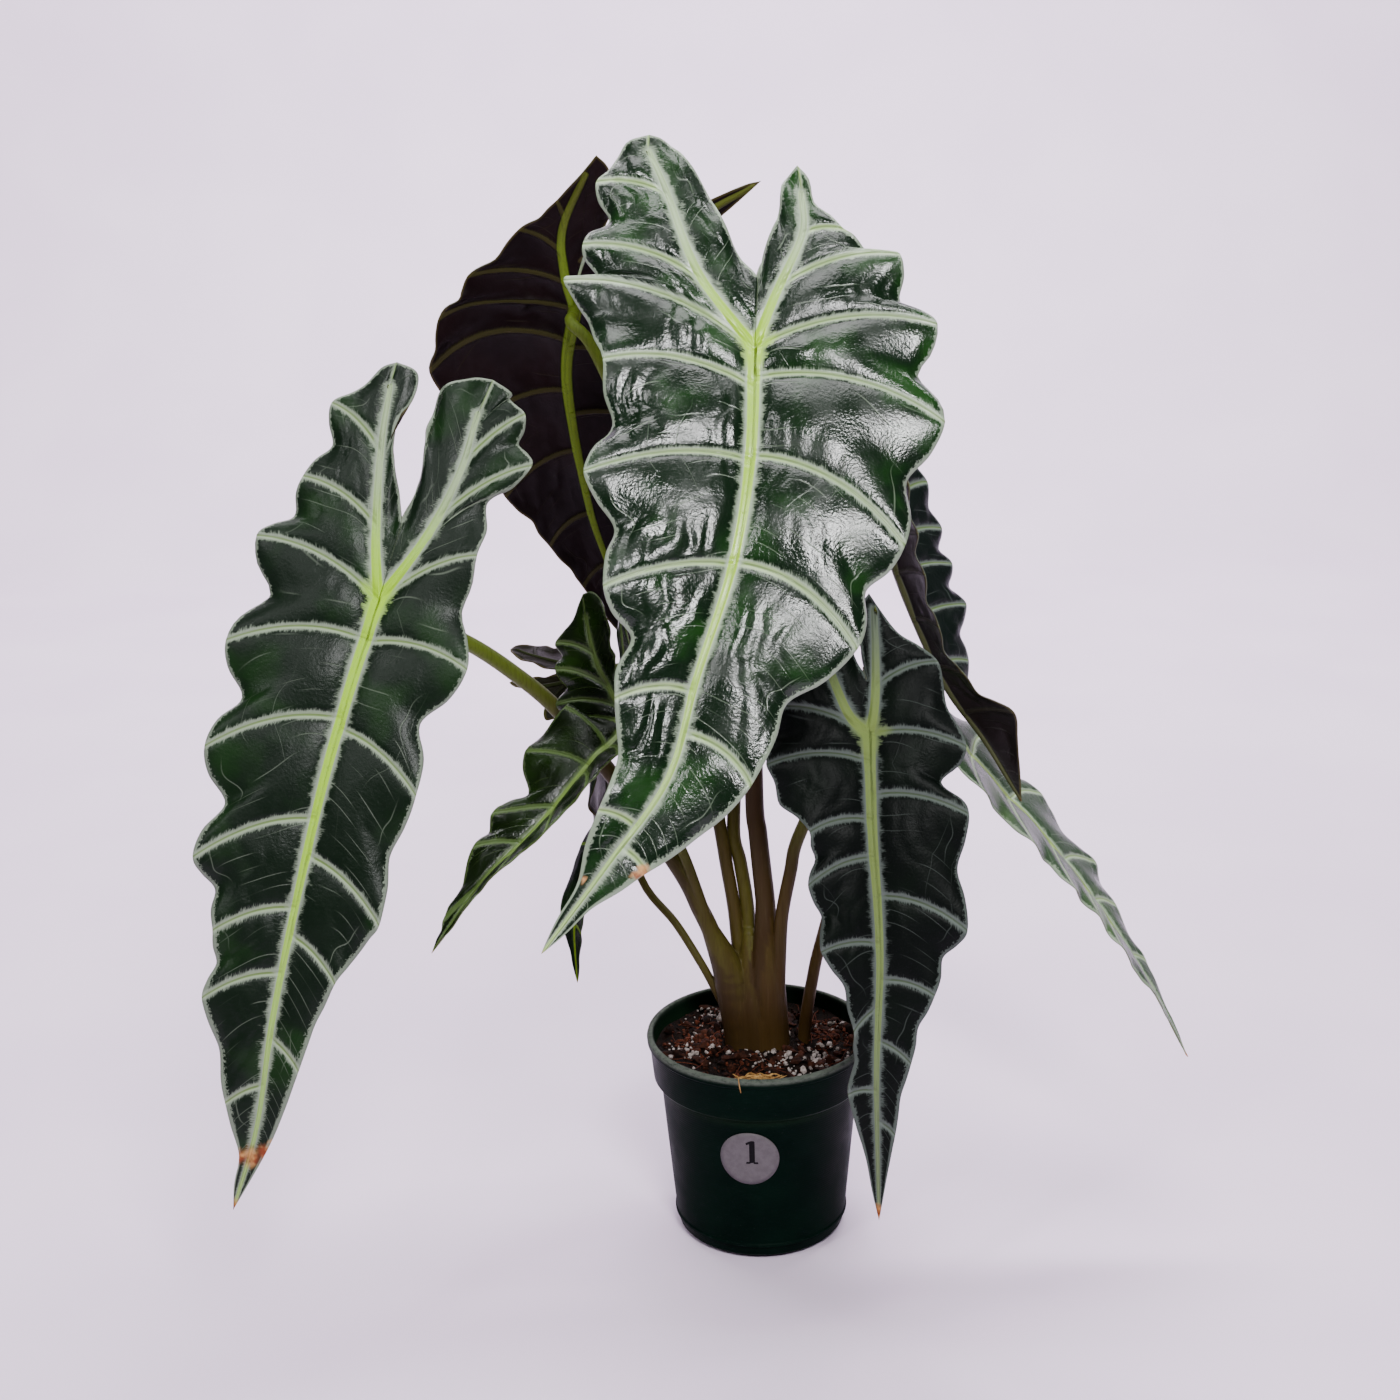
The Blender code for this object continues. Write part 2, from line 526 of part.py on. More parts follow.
def build_soil(parts, cutters):
    """The fill of the pot with an uneven top, grains joined to it, and holes for the stems."""
    draw = random.Random(SOIL_SEED)

    def ring(radius, z, relief=0.0):
        points = []
        for k in range(SOIL_STEPS):
            turn = math.tau * k / SOIL_STEPS
            x, y = radius * math.cos(turn), radius * math.sin(turn)
            lift = math.sin(x * 0.21 + 1) * math.cos(y * 0.17) + draw.uniform(-0.5, 0.5)
            points.append(body.verts.new((x * MM, y * MM, (z + lift * relief) * MM)))
        return points

    body = bmesh.new()
    outer = SOIL_WALL[0][0]
    rings = [ring(outer * n / SOIL_RINGS, SOIL_TOP, SOIL_RELIEF) for n in range(1, SOIL_RINGS)]
    rings.append(ring(outer, SOIL_TOP, SOIL_RELIEF * 0.3))
    rings += [ring(radius, z) for radius, z in SOIL_WALL[1:]]
    centre = body.verts.new((0, 0, SOIL_TOP * MM))
    for k in range(SOIL_STEPS):
        m = (k + 1) % SOIL_STEPS
        body.faces.new((centre, rings[0][k], rings[0][m]))
        for a, b in zip(rings, rings[1:]):
            body.faces.new((a[k], b[k], b[m], a[m]))
    body.faces.new(rings[-1][::-1])
    bmesh.ops.recalc_face_normals(body, faces=body.faces)
    mesh = bpy.data.meshes.new("soil")
    body.to_mesh(mesh)
    body.free()
    soil = new_object("soil", mesh, parts, SOIL_COLOUR, 0.95)
    near, far = GRAIN_REACH
    for _ in range(GRAIN_COUNT):
        radius = draw.uniform(*GRAIN_RADIUS)
        turn, reach = draw.uniform(0, math.tau), near + (far - near) * math.sqrt(draw.random())
        bpy.ops.mesh.primitive_ico_sphere_add(
            subdivisions=1, radius=radius * MM,
            location=(reach * MM * math.cos(turn), reach * MM * math.sin(turn), SOIL_TOP * MM),
            rotation=(draw.uniform(0, 3), draw.uniform(0, 3), draw.uniform(0, 3)))
        take(cutters).scale = (1, draw.uniform(0.7, 1), draw.uniform(0.6, 0.9))
    boolean(soil, cutters, "UNION")
    height = 2 * (SOIL_TOP - CROWN_Z[0])
    for (x, y), half, count in (((0, 0), CROWN_HALF, 32), (STEM_H_FOOT, (STEM_H_RADIUS,) * 2, 16)):
        bpy.ops.mesh.primitive_cylinder_add(
            vertices=count, radius=MM, depth=height * MM,
            location=(x * MM, y * MM, (CROWN_Z[0] - GAP + height / 2) * MM))
        take(cutters).scale = (half[0] + HOLE_CLEAR, half[1] + HOLE_CLEAR, 1)
    boolean(soil, cutters, "DIFFERENCE")


def stem_points(name):
    """A stem's points, ending square behind its leaf's junction."""
    points, (_, radius) = STEMS[name]
    way, _, up = (q[0] for q in frame_at(LEAVES[name], np.array([0.0])))
    end = BLADE_THICK / 2 + GAP + END_TILT * radius
    return points + [tuple(way - up * reach) for reach in (STEM_FLARE, STEM_FLARE / 2, end + 2, end)]


def build_stems(parts, cutters):
    """Seven stems in one trunk with its sheaths, and one stem that stands by itself."""
    stems = tube("stems", stem_points("A"), STEMS["A"][1], parts)
    for name in "BCDEFG":
        tube("stem", stem_points(name), STEMS[name][1], cutters)
    for points, radii in SHEATHS:
        tube("sheath", points, radii, cutters, sides=4)
    bpy.ops.mesh.primitive_cylinder_add(vertices=28, radius=MM, depth=(CROWN_Z[1] - CROWN_Z[0]) * MM,
                                        location=(0, 0, sum(CROWN_Z) / 2 * MM))
    take(cutters).scale = (*CROWN_HALF, 1)
    boolean(stems, cutters, "UNION")
    lone = tube("stem_h", stem_points("H"), STEMS["H"][1], parts)
    for thing in (stems, lone):
        thing.data.materials.append(new_material(thing.name, STEM_COLOUR, 0.45))
        thing.data.shade_smooth()
        thing.data.set_sharp_from_angle(angle=math.radians(SHARP + 15))


def build_leaf(name, parts):
    """A thin waved blade, split into the same triangles on both of its faces."""
    leaf = LEAVES[name]
    flat, faces = flat_leaf(leaf.outline, BLADE_PITCH, BLADE_COLS)
    mesh = bpy.data.meshes.new("leaf_" + name.lower())
    mesh.from_pydata((hang(leaf, flat) * MM).tolist(), [], faces)
    mesh.update()
    thing = new_object(mesh.name, mesh, parts, BLADE_COLOUR[name], 0.3)
    split = thing.modifiers.new("split", "TRIANGULATE")
    split.quad_method = "FIXED"
    solid = thing.modifiers.new("solid", "SOLIDIFY")
    solid.thickness, solid.offset = BLADE_THICK * MM, 0
    apply_modifiers(thing)


def main():
    """Clear the scene and build the plant."""
    for thing in list(bpy.data.objects):
        bpy.data.objects.remove(thing)
    scene = bpy.context.scene.collection
    parts = bpy.data.collections.new("potted_polly_alocasia")
    cutters = bpy.data.collections.new("cutters")
    scene.children.link(parts)
    scene.children.link(cutters)
    cutters.hide_render = True
    build_pot(parts, cutters)
    build_label(parts)
    build_soil(parts, cutters)
    build_stems(parts, cutters)
    for name in LEAVES:
        build_leaf(name, parts)


main()
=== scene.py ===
"""Looks of the potted polly alocasia: fine veined blades, stems, potting mix, pot, label and light."""
import math
import random
from collections import namedtuple

import bmesh
import bpy
import numpy as np
from mathutils import Matrix, Vector, kdtree


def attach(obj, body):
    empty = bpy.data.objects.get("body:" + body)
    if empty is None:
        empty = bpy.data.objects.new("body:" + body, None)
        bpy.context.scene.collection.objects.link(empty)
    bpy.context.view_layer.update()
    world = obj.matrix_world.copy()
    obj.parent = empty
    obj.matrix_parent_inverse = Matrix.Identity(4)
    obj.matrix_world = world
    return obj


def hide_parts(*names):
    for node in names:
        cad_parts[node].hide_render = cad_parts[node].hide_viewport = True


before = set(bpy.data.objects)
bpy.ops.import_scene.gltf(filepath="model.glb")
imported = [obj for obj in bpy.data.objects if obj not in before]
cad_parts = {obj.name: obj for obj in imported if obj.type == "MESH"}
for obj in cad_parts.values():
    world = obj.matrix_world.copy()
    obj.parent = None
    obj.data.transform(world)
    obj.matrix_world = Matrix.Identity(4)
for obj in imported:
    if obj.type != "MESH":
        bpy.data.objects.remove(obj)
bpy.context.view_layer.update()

MM = 0.001

# The camera stands where the photograph was taken from.
CAMERA_AT = (-0.025, -0.877, 0.530)
CAMERA_PITCH = 16.8            # degrees below the horizon
CAMERA_ROLL = -1.2
CAMERA_LENS = 51.43            # on a 36 mm sensor

# Blades, in millimetres: the same outlines and midribs as the frame's leaves.
BLADE_HALF = 0.4               # half the thickness
MARGIN_HALF = 0.22             # half the thickness at the margin
MARGIN_EDGE = 1.5              # how far in from the margin it thins
PITCH = 1.5      # from one row of points to the next, along the midrib
COLUMN = 1.7     # and from one column to the next, along a rib
MIDRIB_STEPS = 12              # steps in each span of a midrib's curve
OUTLINE_STEPS = 8              # and of an outline's curves
STEM_STEPS = 6                 # and of a stem's
LINE_STEP = 0.3                # spacing of the points that stand for a line
VEIN_BOW = 0.2                 # how far a vein bows towards the lobes, as a share of its length
PANEL_RISE = 0.035             # how far the field between two veins rises, as a share of that length
DROOP_REACH = 50               # how far from the midrib a half has turned down by its droop
WAVE_RIB = 40                  # a rib of this length or more has the whole wave at its end
SHOULDER = 0.25                # how full the margin is between a rib's end and the notch beside it
VEIN_HALF = 1.35               # half width of a primary vein at the midrib
VEIN_TAPER = 0.35              # the share that it loses on its way to the margin
MIDRIB_HALF = 3.0              # half width of the midrib at the junction
MIDRIB_TAPER = 0.78            # the share that it loses on its way to the tip
COSTA_SHARE, COSTA_TAPER = 0.78, 0.45   # a lobe's midrib at the junction, and what it loses
COSTA_REACH = 95               # over this length
VEIN_SINK, VEIN_CORE = 0.7, 0.35        # how deep a vein lies above, and how far its middle rises
MIDRIB_SINK, MIDRIB_CORE = 1.0, 0.7     # the same for the midrib
RIDGE_RISE, KEEL_RISE = 0.9, 2.2        # how far veins and midrib stand out below
CREASE_RISE, MARGIN_RISE = 0.3, 0.5     # fine creases, and the unevenness along the margin
PUCKER_PERIOD = 11.0           # from one pucker of a blade to the next, along its veins
BRANCH_PERIOD = 6.0            # from one thin side vein to the next, along the midrib
RUNG_PERIOD = 15.0             # from one thin cross vein to the next, along a vein

OUTLINE_A = {
    "length": 265, "sinus": 31,
    "left": {
        "costa": [(24, -31), (39, -68), (47, -86)],
        "ribs": [(-98, 47, -93, -3), (-77, 68, -70, 8), (-36, 72, -41, 11), (0, 79, -25, 2),
                 (17, 61, 9, 7), (49, 65, 65, 7), (93, 46, 119, 9), (146, 29, 156, 1),
                 (204, 16, 208, 3), (265, 0, 265, 0)],
        "tip": (56, -90),
        "inner": [(39, -90), (28, -78), (18, -61), (9, -43)]},
    "right": {
        "costa": [(8, -24), (18, -51), (17, -70)],
        "ribs": [(-72, 15, -82, 3), (-54, 35, -53, 3), (-29, 58, -42, 8), (0, 74, -12, 9),
                 (13, 77, 31, 8), (47, 65, 75, 7), (92, 56, 111, 7), (163, 31, 174, 1),
                 (214, 14, 216, 2), (265, 0, 265, 0)],
        "tip": (20, -76),
        "inner": [(9, -74), (8, -61), (3, -45)]},
}
OUTLINE_B = {
    "length": 260, "sinus": 34,
    "left": {
        "costa": [(9, -26), (18, -62), (22, -88)],
        "ribs": [(-96, 22, -98, 0), (-66, 43, -74, 6), (-33, 45, -41, 6), (0, 56, -12, 11),
                 (17, 54, 33, 10), (51, 50, 75, 10), (93, 44, 118, 4), (130, 30, 145, 3),
                 (157, 29, 172, 2), (204, 14, 213, 3), (260, 0, 260, 0)],
        "tip": (28, -94),
        "inner": [(13, -96), (11, -84), (15, -72), (9, -54)]},
    "right": {
        "costa": [(11, -28), (17, -58), (17, -86)],
        "ribs": [(-92, 19, -101, 0), (-70, 37, -90, 5), (-43, 46, -70, 9), (0, 35, -28, 5),
                 (18, 45, 18, 10), (55, 39, 74, 4), (108, 36, 129, 0), (141, 23, 156, 1),
                 (184, 14, 195, 0), (260, 0, 260, 0)],
        "tip": (28, -98),
        "inner": [(9, -100), (-1, -92), (-2, -78), (1, -55)]},
}
OUTLINE_F = {
    "length": 220, "sinus": 24,
    "left": {
        "costa": [(9, -9), (17, -30), (22, -52)],
        "ribs": [(-60, 24, -62, 1), (-32, 37, -36, 3), (0, 44, -12, 3), (12, 46, 14, -4),
                 (38, 28, 42, 3), (54, 30, 64, 3), (92, 26, 94, 3), (120, 11, 130, 2),
                 (158, 13, 158, 1), (220, 0, 220, 0)],
        "tip": (29, -56),
        "inner": [(15, -56), (9, -44), (4, -32)]},
    "right": {
        "costa": [(3, -14), (4, -36), (4, -56)],
        "ribs": [(-60, 2, -63, 3), (-23, 31, -31, 2), (0, 42, 7, 11), (27, 42, 37, 4),
                 (71, 38, 87, 4), (108, 24, 113, 2), (135, 15, 144, 1), (172, 8, 178, 0),
                 (220, 0, 220, 0)],
        "tip": (7, -55),
        "inner": [(-2, -57), (-3, -46), (-2, -33)]},
}
OUTLINE_C = {
    "length": 212, "sinus": 24,
    "left": {
        "costa": [(26, -22), (54, -52), (74, -68)],
        "ribs": [(-100, 77, -71, 0), (-76, 61, -51, 0), (-42, 46, -18, 2), (0, 58, 14, 3),
                 (20, 56, 40, 5), (56, 48, 74, 4), (100, 36, 112, 3), (150, 18, 160, 1),
                 (212, 0, 212, 0)],
        "inner": [(68, -67), (50, -55), (20, -34)]},
    "right": {
        "costa": [(6, -16), (9, -38), (1, -66)],
        "ribs": [(-72, -3, -75, 0), (-46, 13, -51, 1), (-30, 29, -34, 2), (-14, 51, -7, 3),
                 (0, 62, 20, 2), (17, 66, 37, 4), (43, 51, 63, 3), (75, 41, 98, 4),
                 (110, 26, 126, 2), (140, 17, 152, 1), (212, 0, 212, 0)],
        "inner": [(-10, -68), (-12, -50), (-8, -36)]},
}
# Leaf D has one large lobe of its margin half way down.
OUTLINE_D = {
    "length": 266, "sinus": 34,
    "left": {
        "costa": [(12, -32), (24, -68), (28, -104)],
        "ribs": [(-120, 28, -124, 2), (-80, 60, -84, 4), (-44, 62, -60, 8), (-20, 66, -30, 2),
                 (0, 66, -4, 4), (28, 54, 28, 0), (52, 54, 74, 18), (100, 38, 142, 4),
                 (144, 28, 174, 4), (196, 8, 236, 0), (266, 0, 266, 0)],
        "inner": [(18, -124), (8, -104), (6, -76), (3, -52)]},
    "right": {
        "costa": [(10, -28), (18, -60), (20, -88)],
        "ribs": [(-100, 24, -102, 2), (-60, 40, -60, 4), (-24, 48, -24, 6), (0, 48, 8, 6),
                 (28, 44, 40, 6), (60, 40, 76, 6), (104, 32, 128, 6), (152, 22, 180, 4),
                 (200, 10, 224, 0), (266, 0, 266, 0)],
        "inner": [(12, -100), (4, -78), (2, -54)]},
}
OUTLINE_G = {
    "length": 170, "sinus": 18,
    "left": {
        "costa": [(6, -12), (12, -28), (16, -44)],
        "ribs": [(-50, 17, -50, 1), (-26, 25, -26, 2), (0, 27, -2, 2), (18, 22, 24, 3),
                 (46, 17, 54, 3), (76, 15, 86, 2), (108, 20, 124, 0), (170, 0, 170, 0)],
        "inner": [(10, -46), (6, -36), (3, -26)]},
    "right": {
        "costa": [(6, -12), (10, -28), (14, -44)],
        "ribs": [(-50, 16, -50, 1), (-24, 29, -26, 2), (0, 34, -2, 3), (18, 34, 22, 4),
                 (46, 33, 52, 4), (76, 22, 84, 2), (108, 12, 116, 1), (170, 0, 170, 0)],
        "inner": [(9, -45), (5, -36), (2, -26)]},
}

Leaf = namedtuple("Leaf", "outline size midrib looks fold droop wave")
LEAVES = {
    "A": Leaf(OUTLINE_A, 1.0,
              [(3, -34, 473), (0, -60, 432), (-3, -86, 391), (-11, -108, 353), (-26, -127, 313),
               (-38, -143, 277), (-62, -157, 247), (-88, -170, 216)],
              [(0, -1, 0.4), (0, -1, 0.2)], (8, 8), (10, 10), 3.0),
    "B": Leaf(OUTLINE_B, 1.0,
              [(-144, -64, 370), (-156, -80, 335), (-168, -96, 300), (-179, -111, 264),
               (-191, -127, 217), (-201, -139, 174), (-209, -147, 132), (-221, -150, 96)],
              [(-0.1, -1, 0.35), (0, -1, 0.2)], (8, 8), (12, 12), 2.6),
    "C": Leaf(OUTLINE_C, 1.0,
              [(-74, 47, 470), (-79, 60, 437), (-85, 75, 401), (-78, 95, 339), (-68, 108, 300),
               (-50, 124, 240)],
              [(0.1, 1, 0.5), (0.0, 1, 0.3)], (12, 6), (8, 8), 2.4),
    "D": Leaf(OUTLINE_D, 0.5,
              [(-61, -12, 290), (-59, -25, 262), (-73, -38, 250), (-97, -56, 226), (-120, -70, 207),
               (-143, -84, 179)],
              [(-0.5, -1, 0.3), (-0.5, -1, 0.5), (-0.6, -1, 0.6)], (6, 48), (6, 12), 2.8),
    "E": Leaf(OUTLINE_A, 0.54,
              [(-119, 60, 265), (-73, 56, 257), (-72, 62, 220), (-76, 70, 175), (-91, 76, 132),
               (-92, 78, 88)],
              [(-0.1, 0.3, -0.9), (-0.8, 0.1, -0.6), (-1, -0.1, 0), (-0.1, -1, 0)],
              (14, 14), (8, 8), 2.2),
    "F": Leaf(OUTLINE_F, 1.0,
              [(49, -22, 298), (49, -40, 260), (49, -58, 222), (51, -75, 171), (49, -85, 116),
               (50, -90, 48)],
              [(0, -1, 0.35), (0, -1, 0.1)], (10, 10), (12, 12), 2.8),
    "G": Leaf(OUTLINE_G, 1.0,
              [(60, 34, 359), (64, 28, 330), (73, 20, 302), (89, 12, 266), (106, 4, 242),
               (123, -4, 214)],
              [(0.8, -0.5, 0.45), (0.8, -0.5, 0.45), (0.7, 0.5, 0.3)], (60, 20), (6, 8), 1.4),
    "H": Leaf(OUTLINE_B, 0.68,
              [(70, 27, 248), (94, 22, 238), (116, 15, 214), (132, 12, 197), (159, 5, 163),
               (186, -6, 122), (204, -15, 87)],
              [(0.8, -0.15, 0.6), (0.8, -0.15, 0.6)], (5, 10), (14, 4), 2.4),
}
# How strongly each blade's left and right half pucker between the veins, and the rise of its panels.
RELIEF = {"A": (0.8, 0.35, 1.0), "B": (0.35, 0.2, 0.5), "C": (0.7, 0.6, 1.2), "D": (0.8, 0.8, 1.0),
          "E": (0.4, 0.4, 0.8), "F": (0.4, 0.25, 0.7), "G": (0.6, 0.6, 0.9), "H": (0.1, 0.1, 0.4)}
# Dry places of a blade: across and along the flat leaf, radius, and how far along the tip is dry.
DRY = {
    "A": ([(-7.5, 233, 1.6), (-4, 233, 0.9), (12.3, 215.5, 1.5), (11.0, 219, 1.0)], 263),
    "B": ([(1, 235, 3.2), (-4, 236, 2.4), (6, 231, 2.6), (9, 226, 1.6), (10, 220, 1.4)], 254),
    "C": ([(-52, 80, 6.0), (-46, 96, 4.0)], 300),
    "D": ([], 263), "E": ([], 262), "F": ([(0, 215, 2.0)], 213), "G": ([], 168), "H": ([], 255),
}

STEMS = {
    "A": ([(8, -1, 84), (7, -1, 120), (5, 0, 140), (4, 0, 163), (2.3, 1, 182), (0.8, 2, 199),
           (-0.6, 4, 217), (0, 8, 290), (1, 2, 350), (1, -18, 396), (0, -36, 416)], (5.3, 2.7)),
    "B": ([(-9, -1, 84), (-13, -2, 120), (-21.3, -2, 149), (-27.2, -1, 163), (-36, 0, 182),
           (-62, 3, 222), (-89, 1, 260), (-110, -13, 285), (-128, -34, 305), (-146, -56, 320)],
          (4.6, 3.1)),
    "C": ([(-7, 0, 84), (-8, 3, 120), (-9.9, 5, 149), (-11.3, 6, 163), (-14.2, 7, 182),
           (-16.7, 9, 199), (-25, 20, 250), (-38, 34, 320), (-54, 42, 380), (-70, 44, 420)],
          (3.3, 2.8)),
    "D": ([(-7, -2, 84), (-14, -2, 128), (-22, -3, 152), (-28, -3, 172), (-34, -4, 191),
           (-43, -7, 214), (-50, -9, 236)], (2.8, 2.2)),
    "E": ([(-10, 1, 84), (-15, 1, 106), (-21, 1, 121), (-28, 4, 134), (-39, 12, 150), (-55, 24, 168),
           (-62, 38, 200), (-58, 50, 238), (-51, 54, 259)], (2.1, 1.8)),
    "F": ([(9, -2, 84), (9.5, -4, 120), (10.6, -5, 149), (11.9, -5, 163), (15.6, -5, 182),
           (19.2, -6, 199), (34, -13, 234), (44, -22, 248)], (3.4, 2.8)),
    "G": ([(0, 3, 84), (-2.5, 5, 120), (-4, 6, 149), (-4.8, 7, 163), (-7.6, 9, 182),
           (-10.4, 11, 199), (-6, 18, 240), (10, 28, 280), (32, 36, 308), (46, 40, 320)],
          (3.6, 2.7)),
    "H": ([(21.8, 1, 80), (21.8, 1, 92), (22.8, 1, 104), (25.8, 1, 123), (30, 4, 141),
           (42, 11, 178), (60, 18, 208), (76, 24, 224)], (3.1, 2.4)),
}
STEM_FLARE = 14.0
SHEATHS = [([(-8, 0, 80), (-8.5, 0, 96), (-10.2, 0, 112), (-12.8, 0, 125), (-15.6, -1, 135),
             (-24, -2, 156)], (8.2, 8.2, 8.8, 8.4, 7.0, 3.6)),
           ([(7, -1, 80), (6.5, -1, 96), (5.2, -1, 112), (4.2, -1, 125), (4, -1, 136), (4, 0, 152),
             (3.6, 0, 168)], (8.2, 8.2, 8.6, 8.6, 7.4, 5.4, 4.4)),
           ([(-1, -1.5, 80), (-1.5, -1.5, 100), (-3, -1, 118), (-4, 1, 134), (-4.2, 4, 150)],
            (8.0, 8.0, 7.4, 5.6, 2.6))]
# How green each stem is, from brown at 0 to olive green at 1, and how golden.
STEM_TONE = {"A": (0.1, 0.2), "B": (0.35, 0.1), "C": (0.5, 0.4), "D": (0.6, 0.3), "E": (0.95, 0.3),
             "F": (0.3, 0.6), "G": (0.85, 0.3), "H": (0.4, 1.0)}

POT_HEIGHT = 99.0
RIM_RADIUS = 54.0
FOOT_RADIUS = 40.4
FLOOR_TOP = 2.2
POT_SIDES = 144
POT_OUTER = [(RIM_RADIUS - 1.4, POT_HEIGHT), (RIM_RADIUS - 0.3, POT_HEIGHT - 0.5),
             (RIM_RADIUS, POT_HEIGHT - 1.6), (RIM_RADIUS - 0.2, 95.2), (RIM_RADIUS - 1.3, 94.2),
             (51.1, 77.6), (50.4, 76.6), (47.8, 76.3), (41.7, 7.2), (42.2, 6.6), (42.2, 5.4),
             (40.8, 4.8), (FOOT_RADIUS, 0.4), (FOOT_RADIUS - 0.4, 0.0)]
WALL_TOP, WALL_FOOT = POT_OUTER[7:9]
POT_INNER = [(39.0, FLOOR_TOP), (40.2, 8.0), (46.1, 75.4), (49.6, 79.2), (50.6, 94.0),
             (51.0, 98.4), (51.6, POT_HEIGHT)]
POT_EDGE = 0.25                # how wide its edges are rounded
DRAIN_COUNT = 6
DRAIN_RADIUS = 3.6
DRAIN_RING = 32.0

SOIL_TOP = 91.0
SOIL_RADIUS = 50.0
SOIL_REACH = 49.0              # how far from the pot's middle loose grains and hairs lie
SOIL_SIDE = [(49.0, 80.0), (45.4, 75.8), (39.6, 8.0), (38.4, FLOOR_TOP + 0.3)]
SOIL_RINGS, SOIL_STEPS = 34, 110
SOIL_CRUMB = 0.9               # how uneven its top is, up and down
TRUNK_HALF = (17.0, 9.0)       # half width and half depth of the trunk where it leaves the mix
# Where the mix's white grains and its red-brown crumbs gather: x, y and how many.
PERLITE = [(31, -19, 60), (11, -26, 44), (-35, -8, 60), (-22, 33, 50), (44, 22, 24), (0, 0, 70)]
COIR_PATCHES = [(-27, 2, 150), (34, 10, 110), (-4, -24, 40)]
STRAND_SIDES = 5

LABEL_RADIUS = 14.0
LABEL_HEIGHT = 55.0
LABEL_TURN = -8.0
LABEL_THICK = 0.35
LABEL_LIFT = 0.08              # the label's back off the wall
INK_THICK = 0.1
INK_SINK = 0.02                # how deep the numeral's back lies in the paper


def smooth_path(points, steps):
    """A curve through the points, with the given number of steps in each span."""
    p = np.array(points, float)
    p = np.vstack([2 * p[0] - p[1], p, 2 * p[-1] - p[-2]])
    t = np.arange(steps)[:, None] / steps
    spans = [0.5 * (2 * b + (c - a) * t + (2 * a - 5 * b + 4 * c - d) * t ** 2
                    + (3 * b - a - 3 * c + d) * t ** 3)
             for a, b, c, d in zip(p, p[1:], p[2:], p[3:])]
    return np.vstack(spans + [p[-2:-1]])


def lengths(path):
    """The distance of each point from the first, along the path."""
    return np.concatenate([[0], np.cumsum(np.linalg.norm(np.diff(path, axis=0), axis=1))])


def read_at(values, places, at):
    """The rows of values, which belong to the places, read between them at others."""
    return np.stack([np.interp(at, places, values[:, k]) for k in range(values.shape[1])], -1)


def unit(vectors):
    """The vectors at length 1."""
    return vectors / np.linalg.norm(vectors, axis=-1, keepdims=True)


def wander(x, y, seed):
    """Smooth noise between -1 and 1 over a plane, with lumps about one unit wide."""
    table = np.random.default_rng(seed).uniform(-1, 1, (64, 64))
    i, j = np.floor(x).astype(int), np.floor(y).astype(int)
    a, b = x - i, y - j
    a, b = a * a * (3 - 2 * a), b * b * (3 - 2 * b)
    low = table[i % 64, j % 64] * (1 - a) + table[(i + 1) % 64, j % 64] * a
    high = table[i % 64, (j + 1) % 64] * (1 - a) + table[(i + 1) % 64, (j + 1) % 64] * a
    return low * (1 - b) + high * b


def bell(distance, width):
    """1 at distance 0, falling to nothing past the width."""
    return np.exp(-(distance / width) ** 2)


def add_object(name, data):
    """Put a mesh, a curve, a lamp or a camera in the scene."""
    thing = bpy.data.objects.new(name, data)
    bpy.context.scene.collection.objects.link(thing)
    return thing


def deselect():
    """Leave object mode with nothing selected."""
    if bpy.context.object and bpy.context.object.mode != "OBJECT":
        bpy.ops.object.mode_set(mode="OBJECT")
    bpy.ops.object.select_all(action="DESELECT")


def apply_all(thing):
    """Apply a piece's modifiers and its place."""
    deselect()
    thing.select_set(True)
    bpy.context.view_layer.objects.active = thing
    for step in list(thing.modifiers):
        bpy.ops.object.modifier_apply(modifier=step.name)
    bpy.ops.object.transform_apply()


def combine(thing, others, operation):
    """Join a piece with others or cut them out of it, and delete them."""
    group = bpy.data.collections.new("others")
    for other in others:
        group.objects.link(other)
    step = thing.modifiers.new("combine", "BOOLEAN")
    step.operation, step.operand_type, step.solver = operation, "COLLECTION", "EXACT"
    step.collection = group
    apply_all(thing)
    for other in others:
        bpy.data.objects.remove(other)
    bpy.data.collections.remove(group)


def finish_mesh(name, body):
    """A smooth-shaded piece from a bmesh."""
    mesh = bpy.data.meshes.new(name)
    body.to_mesh(mesh)
    body.free()
    mesh.shade_smooth()
    mesh.set_sharp_from_angle(angle=math.radians(50))
    return add_object(name, mesh)


# Blades

def rib_nodes(half):
    """Stations of one half's ribs and of the notches between them, and the margin round them.

    The margin has a shoulder between each rib's end and notch, which rounds the lobes that it makes.
    """
    ribs = np.array(half["ribs"], float)
    stations, margin = [ribs[0][0]], [ribs[0][1:3]]
    for near, far in zip(ribs, ribs[1:]):
        chord = far[1:3] - near[1:3]
        inward = unit(np.array([-chord[1], chord[0]])) * near[3]
        notch = (near[1:3] + far[1:3]) / 2 + inward
        stations += [(near[0] + far[0]) / 2, far[0]]
        margin += [(near[1:3] + notch) / 2 - inward * SHOULDER, notch,
                   (notch + far[1:3]) / 2 - inward * SHOULDER, far[1:3]]
    margin[1] = half.get("tip", margin[1])
    return np.array(stations), margin


def divide(stations, pitch):
    """The stations with others between them, none further apart than the pitch."""
    kept = [stations[0]]
    for station in stations[1:]:
        if station - kept[-1] > 0.2 or station == stations[-1]:
            kept.append(station)
    spans = [np.linspace(a, b, math.ceil((b - a) / pitch) + 1)[:-1] for a, b in zip(kept, kept[1:])]
    return np.concatenate(spans + [kept[-1:]])


